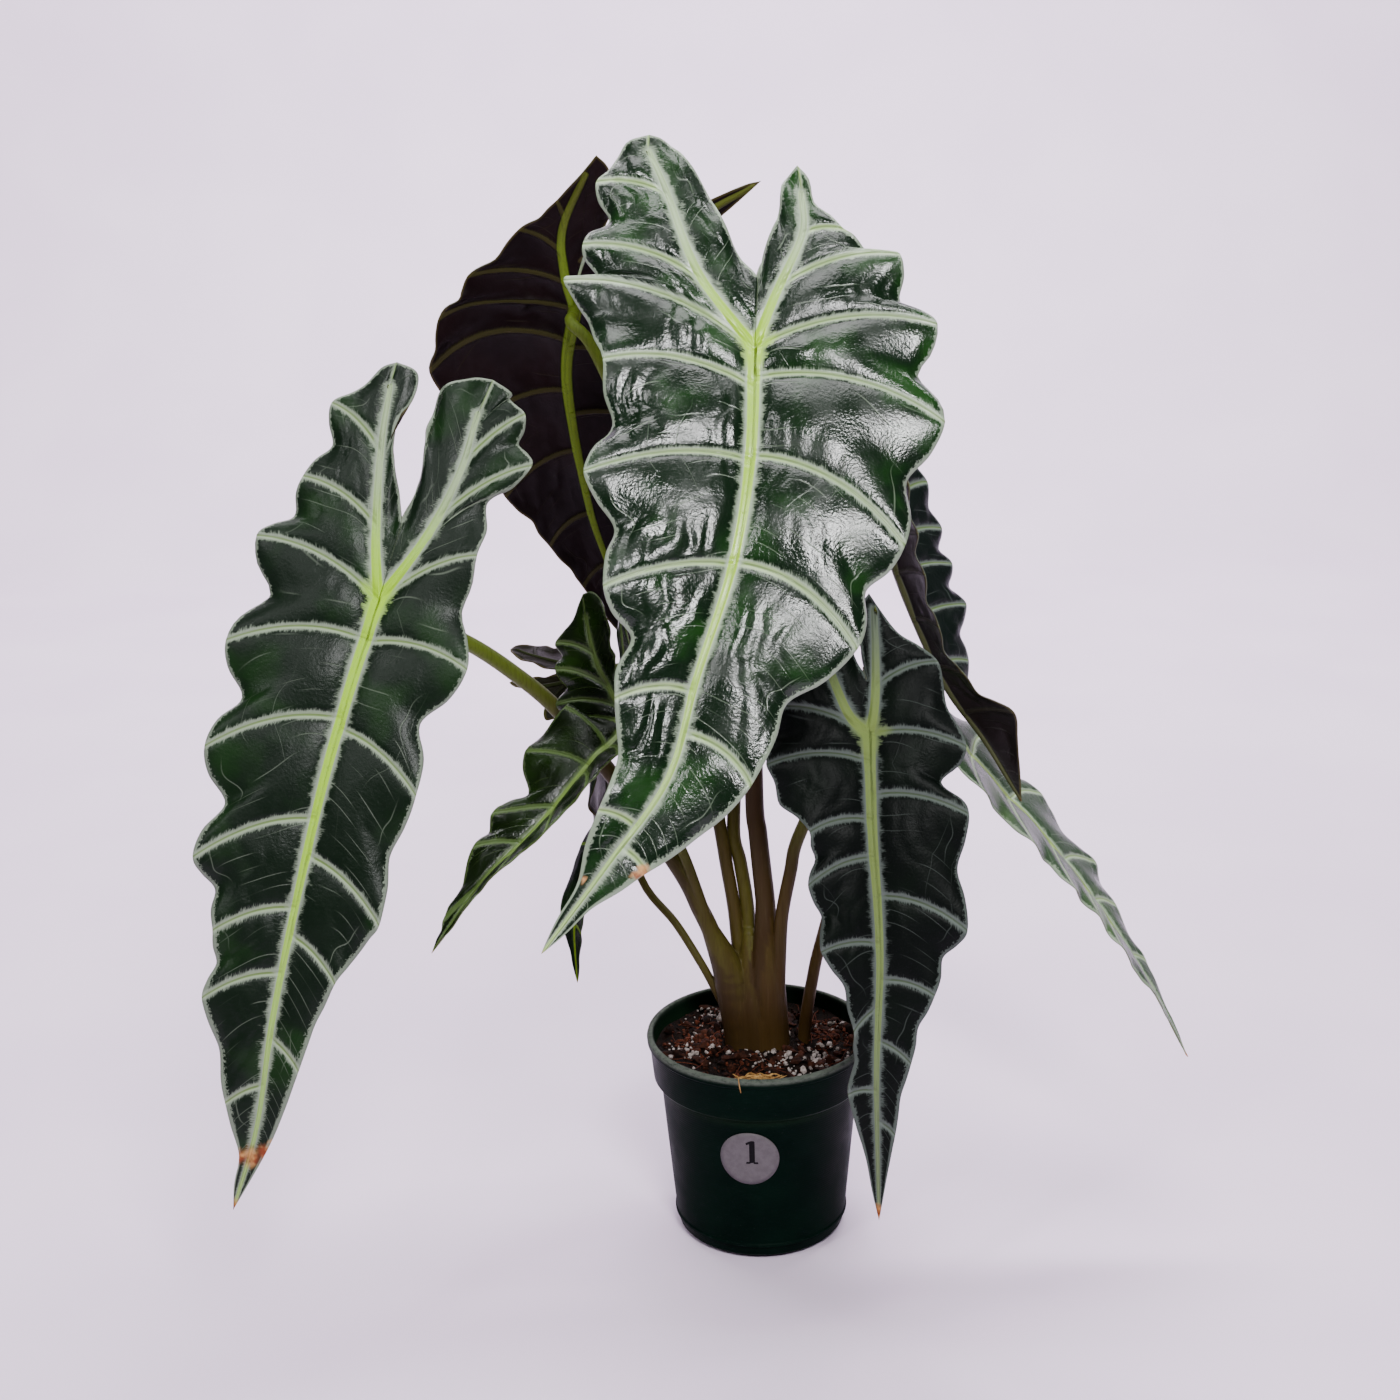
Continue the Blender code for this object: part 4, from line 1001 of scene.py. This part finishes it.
class Paint:
    """One material and its nodes."""

    def __init__(self, name, roughness=0.5, **values):
        self.material = bpy.data.materials.new(name)
        self.material.use_nodes = True
        self.tree = self.material.node_tree
        self.shader = self.tree.nodes["Principled BSDF"]
        self.shader.inputs["Roughness"].default_value = roughness
        for key, value in values.items():
            self.shader.inputs[key.replace("_", " ")].default_value = value

    def node(self, kind, settings=None, *ordered, **named):
        made = self.tree.nodes.new("ShaderNode" + kind)
        for key, value in (settings or {}).items():
            setattr(made, key, value)
        open_sockets = [socket for socket in made.inputs if socket.enabled]
        pairs = list(zip(open_sockets, ordered))
        for key, value in named.items():
            label = key.replace("_", " ")
            pairs.append((next(socket for socket in open_sockets if socket.name == label), value))
        for socket, value in pairs:
            self.feed(socket, value)
        return Wire(self, next(socket for socket in made.outputs if socket.enabled))

    def feed(self, socket, value):
        if isinstance(value, Wire):
            self.tree.links.new(value.socket, socket)
        elif isinstance(value, tuple) and len(value) == 3 and socket.type == "RGBA":
            socket.default_value = (*value, 1)
        else:
            socket.default_value = value

    def set(self, **values):
        for key, value in values.items():
            self.feed(self.shader.inputs[key.replace("_", " ")], value)

    def mix(self, share, low, high):
        """Colour low at share 0 and high at share 1."""
        return self.node("Mix", {"data_type": "RGBA"}, share, low, high)

    def object_place(self):
        return self.node("TexCoord").out("Object")

    def attribute(self, name):
        """The three numbers that a mesh keeps under a name."""
        made = self.node("Attribute", {"attribute_name": name}).out("Vector")
        parts = self.node("SeparateXYZ", None, made)
        return parts, parts.out("Y"), parts.out("Z")

    def coats(self, colour, *coats):
        """The colour under some coats, each given by its share and its colour."""
        for share, coat in coats:
            colour = self.mix(share, colour, coat)
        return colour

    def noise(self, place, scale, detail=2.0, roughness=0.5):
        return self.node("TexNoise", None, Vector=place, Scale=scale, Detail=detail, Roughness=roughness)

    def streaks(self, place, detail=2.0, roughness=0.5):
        """Noise that is as wide as one unit of the two or three numbers of a place."""
        return self.noise(self.node("CombineXYZ", None, *place), 1.0, detail, roughness)

    def stretched(self, place, size, detail=2.0, roughness=0.5):
        """Noise over a place with each axis scaled."""
        scaled = self.node("VectorMath", {"operation": "MULTIPLY"}, place, size)
        return self.noise(scaled, 1.0, detail, roughness)

    def bump(self, height, distance, strength=1.0):
        return self.node("Bump", None, Height=height, Distance=distance, Strength=strength)


def linear(red, green, blue):
    """A colour as the shader wants it, from its 8-bit screen values."""
    return tuple(((c / 255 + 0.055) / 1.055) ** 2.4 if c > 10 else c / 255 / 12.92
                 for c in (red, green, blue))


LeafTone = namedtuple(
    "LeafTone", "blade bright vein core heart green under under_vein under_mid gloss specular")
DARK = LeafTone(blade=linear(7, 24, 9), bright=linear(20, 54, 14), vein=linear(156, 172, 148),
                core=linear(84, 108, 50), heart=linear(148, 190, 26), green=0.35,
                under=linear(13, 6, 8), under_vein=linear(58, 56, 24), under_mid=linear(96, 118, 32),
                gloss=(0.23, 0.34), specular=0.45)
LEAF_TONES = {
    "A": DARK._replace(gloss=(0.17, 0.30)),
    "B": DARK._replace(blade=linear(7, 20, 9), bright=linear(15, 38, 12), vein=linear(136, 148, 130),
                       core=linear(84, 106, 52), heart=linear(142, 186, 22), green=0.12,
                       gloss=(0.34, 0.44), specular=0.15),
    "C": DARK._replace(under=linear(12, 5, 6), gloss=(0.3, 0.4), specular=0.07),
    "D": DARK._replace(blade=linear(10, 22, 4), bright=linear(22, 44, 6), vein=linear(78, 100, 50),
                       core=linear(60, 84, 30), heart=linear(112, 138, 66), green=0.0,
                       under=linear(22, 16, 14), gloss=(0.22, 0.34), specular=0.24),
    # Leaf E's veins and keel are painted dark: painted shade, as it lies behind the front leaves.
    "E": DARK._replace(blade=linear(10, 20, 9), under=linear(22, 22, 12), vein=linear(50, 66, 42),
                       under_vein=linear(34, 38, 20), under_mid=linear(48, 56, 28), specular=0.02),
    # Leaf F is painted darker, with grey veins in place of pale ones: painted shade, as it lies in the
    # front leaves' shadow.
    "F": DARK._replace(blade=linear(7, 11, 9), bright=linear(8, 16, 10), vein=linear(92, 101, 95),
                       core=linear(60, 72, 52), heart=linear(108, 126, 66), green=0.0,
                       under=linear(30, 22, 26), gloss=(0.42, 0.52), specular=0.06),
    # Leaf G likewise has a darker blade and grey veins: painted shade, as it lies behind the front leaves.
    "G": DARK._replace(blade=linear(10, 18, 15), bright=linear(12, 27, 17), vein=linear(104, 115, 108),
                       green=0.1, under=linear(9, 6, 5), under_vein=linear(32, 30, 18),
                       under_mid=linear(62, 64, 38), gloss=(0.32, 0.44), specular=0.2),
    "H": DARK._replace(blade=linear(48, 66, 46), bright=linear(68, 92, 56), vein=linear(148, 166, 140),
                       core=linear(116, 142, 82), heart=linear(136, 166, 70), green=0.15,
                       under=linear(18, 18, 12), specular=0.25),
}
UNDER_PATCH, UNDER_MARGIN = linear(27, 15, 16), linear(96, 88, 50)
DRY_PALE, DRY_BROWN = linear(186, 136, 84), linear(116, 54, 30)


def leaf_paint(name):
    """Glossy quilted blade with feathered pale veins above, maroon with olive veins below."""
    tone, size = LEAF_TONES[name], LEAVES[name].size
    grow = vein_scale(size)
    paint = Paint("leaf_" + name.lower(), 0.3, Specular_IOR_Level=tone.specular)
    number, reach, gap = paint.attribute("rib")
    along, to_midrib, to_margin = paint.attribute("place")
    midrib_half, share, rust = paint.attribute("tone")
    station, half, tipward = paint.attribute("run")
    under = paint.node("Attribute", {"attribute_name": "under"}).out("Fac").ramp(0.3, 0.7)
    place = paint.object_place()

    # Veins: an olive groove between two pale bands, which end in fine hairs that stand across them.
    to_vein = number.off_line() * gap
    vein_half = (1 - share * VEIN_TAPER) * (VEIN_HALF * grow)
    tuft = paint.streaks((reach * 0.2, along * 0.2), 2.0)
    across = to_midrib + to_margin
    hair_reach = tuft.ramp(0.3, 0.7, 0.5, 1.4).least(across * 0.12) * grow
    hairs = paint.streaks((reach * 2.6, to_vein * 0.3, half * 7), 3.0, 0.7)
    midrib_hairs = paint.streaks((along * 2.6, to_midrib * 0.3, half * 5), 3.0, 0.7)
    vein_edge = vein_half * 1.2 + hairs.ramp(0.35, 0.75, 0.5, 2.6) * hair_reach
    vein = 1 - to_vein.ramp(vein_half * 0.8, vein_edge)
    midrib_edge = midrib_half * 1.1 + midrib_hairs.ramp(0.35, 0.75, 1.5, 4.4) * hair_reach
    midrib = 1 - to_midrib.ramp(midrib_half * 0.95, midrib_edge)
    margin_hairs = paint.streaks((along * 0.9, reach * 0.9, to_margin * 0.3), 3.0, 0.7)
    margin_wide = margin_hairs.ramp(0.35, 0.8, 1.2, 3.0) * tipward.ramp(-0.1, 0.8, 0.8, 1.4)
    margin_wide = margin_wide.least(across * 0.24) * grow
    margin = 1 - to_margin.ramp(margin_wide * 0.6, margin_wide)
    groove = 1 - to_vein.ramp(vein_half * 0.16, vein_half * 0.55)
    midrib_core = 1 - to_midrib.ramp(midrib_half * 0.8, midrib_half * 1.05)

    # Thin veins leave the midrib one after the other, arch towards the tip and meet near the margin.
    sway = paint.streaks((reach * 0.03, station * 0.02, half * 3), 0.0)
    branch = station / (BRANCH_PERIOD * grow) + sway.ramp(0.2, 0.8, -0.5, 0.5) - share * share * 0.6
    thin = 1 - (branch.off_line() * (BRANCH_PERIOD * grow)).ramp(0.05, 0.32)
    shown = paint.streaks((branch.rounded() * 3.7, reach * 0.05, half * 5), 0.0)
    thin = thin * (shown + tipward.ramp(0.3, 0.9) * 0.14).ramp(0.50, 0.70) * (1 - share.ramp(0.7, 1.0))
    loop_noise = paint.streaks((station * 0.05, half * 9), 1.0)
    loop = 1 - (to_margin - loop_noise.ramp(0.3, 0.7, 4.0, 9.0) * grow).abs().ramp(0.06, 0.38)
    loop_shown = paint.streaks((station * 0.035, half * 4, 7.0), 0.0)
    loop = loop * loop_shown.ramp(0.5, 0.65) * share.ramp(0.3, 0.5)
    rung = reach / RUNG_PERIOD + sway.ramp(0.2, 0.8, 0.8, -0.8) + number.off_line() * 1.1
    cross = 1 - (rung.off_line() * RUNG_PERIOD).ramp(0.06, 0.32)
    cross_shown = paint.streaks((rung.rounded() * 2.3, branch * 0.2, 9.0), 0.0)
    cross = cross * cross_shown.ramp(0.60, 0.75) * (1 - tipward.ramp(0.25, 0.45)) * 0.6
    lace = thin.most(loop).most(cross) * (1 - midrib)

    mottle = paint.noise(place, 34.0, 3.0)
    inner_vein = 1 - to_vein.ramp(vein_half * 0.6, vein_half * 1.3)
    green_bands = inner_vein * (1 - reach.ramp(4.0, 70.0 * size) * 0.7)
    fleck = paint.streaks((along * 0.5, to_midrib * 1.6), 3.0, 0.75)
    lobeward = (along * -1.0).ramp(8.0 * size, 56.0 * size)
    keel = paint.coats(tone.heart,
                       (fleck.ramp(0.3, 0.7) * 0.15, tone.vein),
                       (fleck.ramp(0.62, 0.72) * 0.5, tone.core),
                       (tipward.ramp(0.3, 0.9) * 0.5 + lobeward * 0.8, tone.vein))
    near_junction = 1 - (along * along + reach * reach).ramp(4.0 * size, 150.0 * size)
    blade = paint.coats(tone.blade,
                        (mottle.ramp(0.48, 0.72), tone.bright),
                        (lace * 0.22, tone.vein),
                        (margin * 0.55, tone.vein),
                        (vein * 0.84, tone.vein),
                        (green_bands * tone.green, tone.heart),
                        (groove * (0.95 - share * 0.25), tone.core),
                        (midrib * 0.9, tone.vein),
                        (midrib_core, keel),
                        (near_junction * vein.most(midrib) * 0.8, tone.heart))

    below_vein = 1 - to_vein.ramp(vein_half * 0.7, vein_half * 1.2 + hairs.ramp(0.4, 0.8, 0.0, 1.2))
    below_midrib = 1 - to_midrib.ramp(midrib_half * 0.85, midrib_half * 1.2)
    below_keel = paint.coats(tone.under_vein,
                             (fleck.ramp(0.15, 0.5), tone.under_mid),
                             (lobeward * 0.8, tone.under_vein))
    below = paint.coats(tone.under,
                        (mottle.ramp(0.35, 0.75) * 0.5, UNDER_PATCH),
                        (lace * 0.12, tone.under_vein),
                        (below_vein * 0.5, tone.under_vein),
                        (below_midrib, below_keel),
                        ((1 - to_margin.ramp(0.2, 1.3)) * 0.4, UNDER_MARGIN))

    colour = paint.mix(under, blade, below)
    dry = paint.mix(paint.noise(place, 200.0).ramp(0.4, 0.65), DRY_PALE, DRY_BROWN)
    colour = paint.mix(rust, colour, dry)

    # Relief in millimetres: sunken veins, brushed wrinkles and a leathery grain.
    rib_streaks = paint.streaks((reach * 0.25, station, half * 3), 2.0, 0.6)
    vein_streaks = paint.streaks((reach * 0.6, to_vein * 0.25, half * 8), 2.0, 0.5)
    lean = paint.noise(place, 55.0, 1.0).ramp(0.42, 0.58)
    wrinkle = rib_streaks * lean + vein_streaks * (1 - lean)
    foil = paint.noise(place, 800.0, 2.0, 0.6)
    calm = 1 - vein.most(midrib) * 0.8
    dip = (1 - to_vein.ramp(0.0, vein_half * 2.6)) * -0.5 - groove * 0.12
    bands = (1 - (to_vein - vein_half).abs().ramp(0.0, vein_half * 0.6)) * 0.12
    middle = (1 - to_midrib.ramp(midrib_half * 0.3, midrib_half)) * 0.5
    middle = middle - fleck.ramp(0.6, 0.75) * midrib_core * 0.1
    height = (wrinkle * 0.05 + foil * 0.17) * calm + dip + bands + middle - lace * 0.06 + margin * 0.15
    below_height = below_vein * 0.5 + below_midrib * 0.6 + foil * 0.12 + lace * 0.1
    height = height * (1 - under) + below_height * under
    sheen = paint.noise(place, 60.0, 2.0)
    roughness = sheen.ramp(0.35, 0.7, *tone.gloss) + vein.most(midrib) * 0.12 + rust * 0.3 + under * 0.04
    paint.set(Base_Color=colour, Roughness=roughness, Normal=paint.bump(height, MM))
    return paint.material


def stem_paint(name):
    """Satin petiole, brown at the foot and olive above, with fine streaks along it."""
    paint = Paint(name, 0.45, Specular_IOR_Level=0.12)
    share, green, gold = paint.attribute("stem")
    place = paint.object_place()
    streak = paint.stretched(place, (900.0, 900.0, 45.0), 3.0, 0.6)
    blotch = paint.stretched(place, (160.0, 160.0, 30.0), 2.0)
    height = paint.node("SeparateXYZ", None, place).out("Z") * 1000
    olive = green * height.ramp(98.0, 150.0) + blotch.ramp(0.3, 0.7, -0.1, 0.1)
    colour = paint.coats(linear(43, 30, 13),
                         (olive.ramp(0.0, 0.9), linear(61, 60, 18)),
                         (gold * 0.35, linear(86, 63, 26)),
                         (share.ramp(0.45, 0.85), linear(84, 100, 30)),
                         (streak.ramp(0.45, 0.75) * 0.4, linear(46, 32, 16)),
                         ((1 - streak).ramp(0.55, 0.8) * 0.16, linear(92, 76, 50)))
    paint.set(Base_Color=colour, Roughness=streak.ramp(0.3, 0.7, 0.42, 0.54),
              Normal=paint.bump(streak, 0.0003, 0.5))
    return paint.material


def pot_paint():
    """Dark green moulded plastic, scuffed pale on the rim and dusty, with painted light inside the wall
    above the mix.
    """
    paint = Paint("pot_plastic", 0.42, Specular_IOR_Level=0.015)
    place = paint.object_place()
    parts = paint.node("SeparateXYZ", None, place)
    height = parts.out("Z") * 1000
    radius = ((parts * parts + parts.out("Y") * parts.out("Y")) ** 0.5) * 1000
    cloud = paint.noise(place, 45.0, 4.0, 0.6)
    scuff = paint.stretched(place, (300.0, 300.0, 700.0), 4.0, 0.7)
    dust = paint.noise(place, 1500.0, 2.0)
    # The inside of the wall above the mix is painted a lighter green: painted light, where light from
    # above falls into the pot.
    inner = (1 - radius.ramp(50.2, 51.4)) * height.ramp(70.0, 76.0)
    lip = height.ramp(POT_HEIGHT - 3.0, POT_HEIGHT - 0.9) * radius.ramp(50.6, 51.8)
    worn = lip * scuff.ramp(0.25, 0.6, 0.35, 1.0)
    ridge = (1 - (height - 6.0).abs().ramp(0.3, 1.4)) * scuff.ramp(0.5, 0.75) * 0.35
    colour = paint.coats(linear(2, 13, 9),
                         (cloud.ramp(0.3, 0.75), linear(4, 19, 13)),
                         (inner, linear(14, 30, 18)),
                         (worn * 0.9, linear(82, 88, 80)),
                         (ridge, linear(34, 44, 40)),
                         (dust.ramp(0.68, 0.78) * 0.14, linear(80, 76, 72)))
    lines = (height * 5.2).sin() * 0.12
    paint.set(Base_Color=colour, Roughness=cloud.ramp(0.3, 0.7, 0.34, 0.5) + worn * 0.2,
              Normal=paint.bump(dust * 0.4 + lines + scuff * 0.4, 0.0002, 0.5))
    return paint.material


def simple_paint(name, dark, pale, scale, roughness, depth):
    """A rough natural surface mottled between two colours."""
    paint = Paint(name, roughness, Specular_IOR_Level=0.1)
    place = paint.object_place()
    coarse, fine = paint.noise(place, scale, 4.0, 0.65), paint.noise(place, scale * 6, 3.0, 0.6)
    colour = paint.coats(dark, (coarse.ramp(0.35, 0.65), pale), (fine.ramp(0.5, 0.75) * 0.5, dark))
    paint.set(Base_Color=colour, Roughness=fine.ramp(0.2, 0.8, roughness - 0.08, roughness + 0.05),
              Normal=paint.bump(fine + coarse, depth, 0.8))
    return paint.material


def dress(piece, material, slot, *nodes):
    """Give a piece its material and body, and hide the frame's nodes that it stands for; the slot is not
    used.
    """
    piece.data.materials.clear()
    piece.data.materials.append(material)
    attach(piece, "root")
    if nodes:
        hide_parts(*nodes)


def build_plant():
    """Every piece of the plant and its pot."""
    for name in LEAVES:
        dress(build_blade(name), leaf_paint(name), "leaf", "leaf_" + name.lower())
    dress(build_stems("ABCDEFG", SHEATHS, "petioles"), stem_paint("petiole"), "stem", "stems")
    dress(build_stems("H", [], "petiole_h"), stem_paint("petiole_alone"), "stem", "stem_h")
    dress(build_pot(), pot_paint(), "pot", "pot")
    label, numeral = build_label()
    # The white sticker's paper is painted a mid grey: painted shade, as the label lies in the leaves'
    # shadow.
    paper = simple_paint("paper", linear(83, 78, 81), linear(91, 86, 89), 300.0, 0.55, 0.00003)
    ink = simple_paint("ink", linear(4, 3, 5), linear(8, 6, 10), 900.0, 0.5, 0.00003)
    dress(label, paper, "label", "number_label")
    dress(numeral, ink, "label")
    mix = [(build_soil(), "peat", (7, 4, 3), (25, 13, 8), 320.0, 0.0010),
           (build_perlite(), "perlite", (116, 106, 102), (164, 154, 150), 700.0, 0.0003),
           (build_bark(), "bark", (14, 7, 5), (58, 29, 18), 130.0, 0.0005),
           (build_coir_dust(), "coir_dust", (48, 22, 14), (88, 44, 28), 300.0, 0.0004)]
    mix += [(piece, *rest) for piece, rest in zip(build_fibres(), (
        ("coir", (62, 30, 22), (104, 54, 36), 500.0, 0.0001),
        ("straw", (120, 84, 44), (170, 134, 82), 400.0, 0.0001)))]
    for piece, name, dark, pale, scale, depth in mix:
        material = simple_paint(name, linear(*dark), linear(*pale), scale, 0.86, depth)
        dress(piece, material, "soil", *(("soil",) if name == "peat" else ()))


def build_studio():
    """A pale floor that curves up behind, soft light from above, and the camera."""
    paint = Paint("floor", 0.6)
    paint.set(Base_Color=paint.mix(paint.noise(paint.object_place(), 6.0).ramp(0.3, 0.7),
                                   linear(223, 204, 229), linear(228, 210, 233)))
    profile = smooth_path([(-1.6, 0), (1.0, 0), (1.5, 0.04), (1.85, 0.35), (1.95, 0.9), (1.95, 2.2)], 10)
    body = bmesh.new()
    rows = [[body.verts.new((x, y, z)) for x in (-3.0, 3.0)] for y, z in profile]
    for a, b in zip(rows, rows[1:]):
        body.faces.new((a[0], a[1], b[1], b[0]))
    floor = finish_mesh("floor", body)
    floor.data.materials.append(paint.material)

    # Soft lights: where each stands and aims, its width and height in metres, and its watts.
    for name, place, aim, width, height, power in (
            ("key", (0.22, -1.22, 1.22), (0.0, -0.1, 0.3), 0.40, 0.30, 29.0),
            ("strip", (-0.75, -0.85, 1.10), (-0.1, -0.1, 0.3), 0.12, 0.50, 6.0),
            ("top", (0.0, -0.15, 1.6), (0.0, 0.0, 0.3), 0.8, 0.5, 12.0),
            ("wash", (0.0, 0.75, 1.9), (0.0, 1.95, 0.5), 2.4, 0.4, 110.0)):
        light = bpy.data.lights.new(name, "AREA")
        light.shape, light.size, light.size_y, light.energy = "RECTANGLE", width, height, power
        lamp = add_object(name, light)
        lamp.location = place
        lamp.rotation_euler = (Vector(aim) - Vector(place)).to_track_quat("-Z", "Y").to_euler()
    world = bpy.data.worlds.new("studio")
    world.use_nodes = True
    sky = world.node_tree.nodes["Background"].inputs
    sky["Color"].default_value, sky["Strength"].default_value = (0.80, 0.78, 0.84, 1), 0.12
    bpy.context.scene.world = world

    pitch, roll = math.radians(CAMERA_PITCH), math.radians(CAMERA_ROLL)
    level, rise = Vector((1, 0, 0)), Vector((0, math.sin(pitch), math.cos(pitch)))
    right = level * math.cos(roll) + rise * math.sin(roll)
    up = rise * math.cos(roll) - level * math.sin(roll)
    lens = bpy.data.cameras.new("camera")
    lens.sensor_width, lens.lens = 36.0, CAMERA_LENS
    camera = add_object("camera", lens)
    turn = Matrix((right, up, right.cross(up))).transposed().to_4x4()
    camera.matrix_world = Matrix.Translation(CAMERA_AT) @ turn
    bpy.context.scene.camera = camera


build_plant()
build_studio()
bpy.context.view_layer.update()
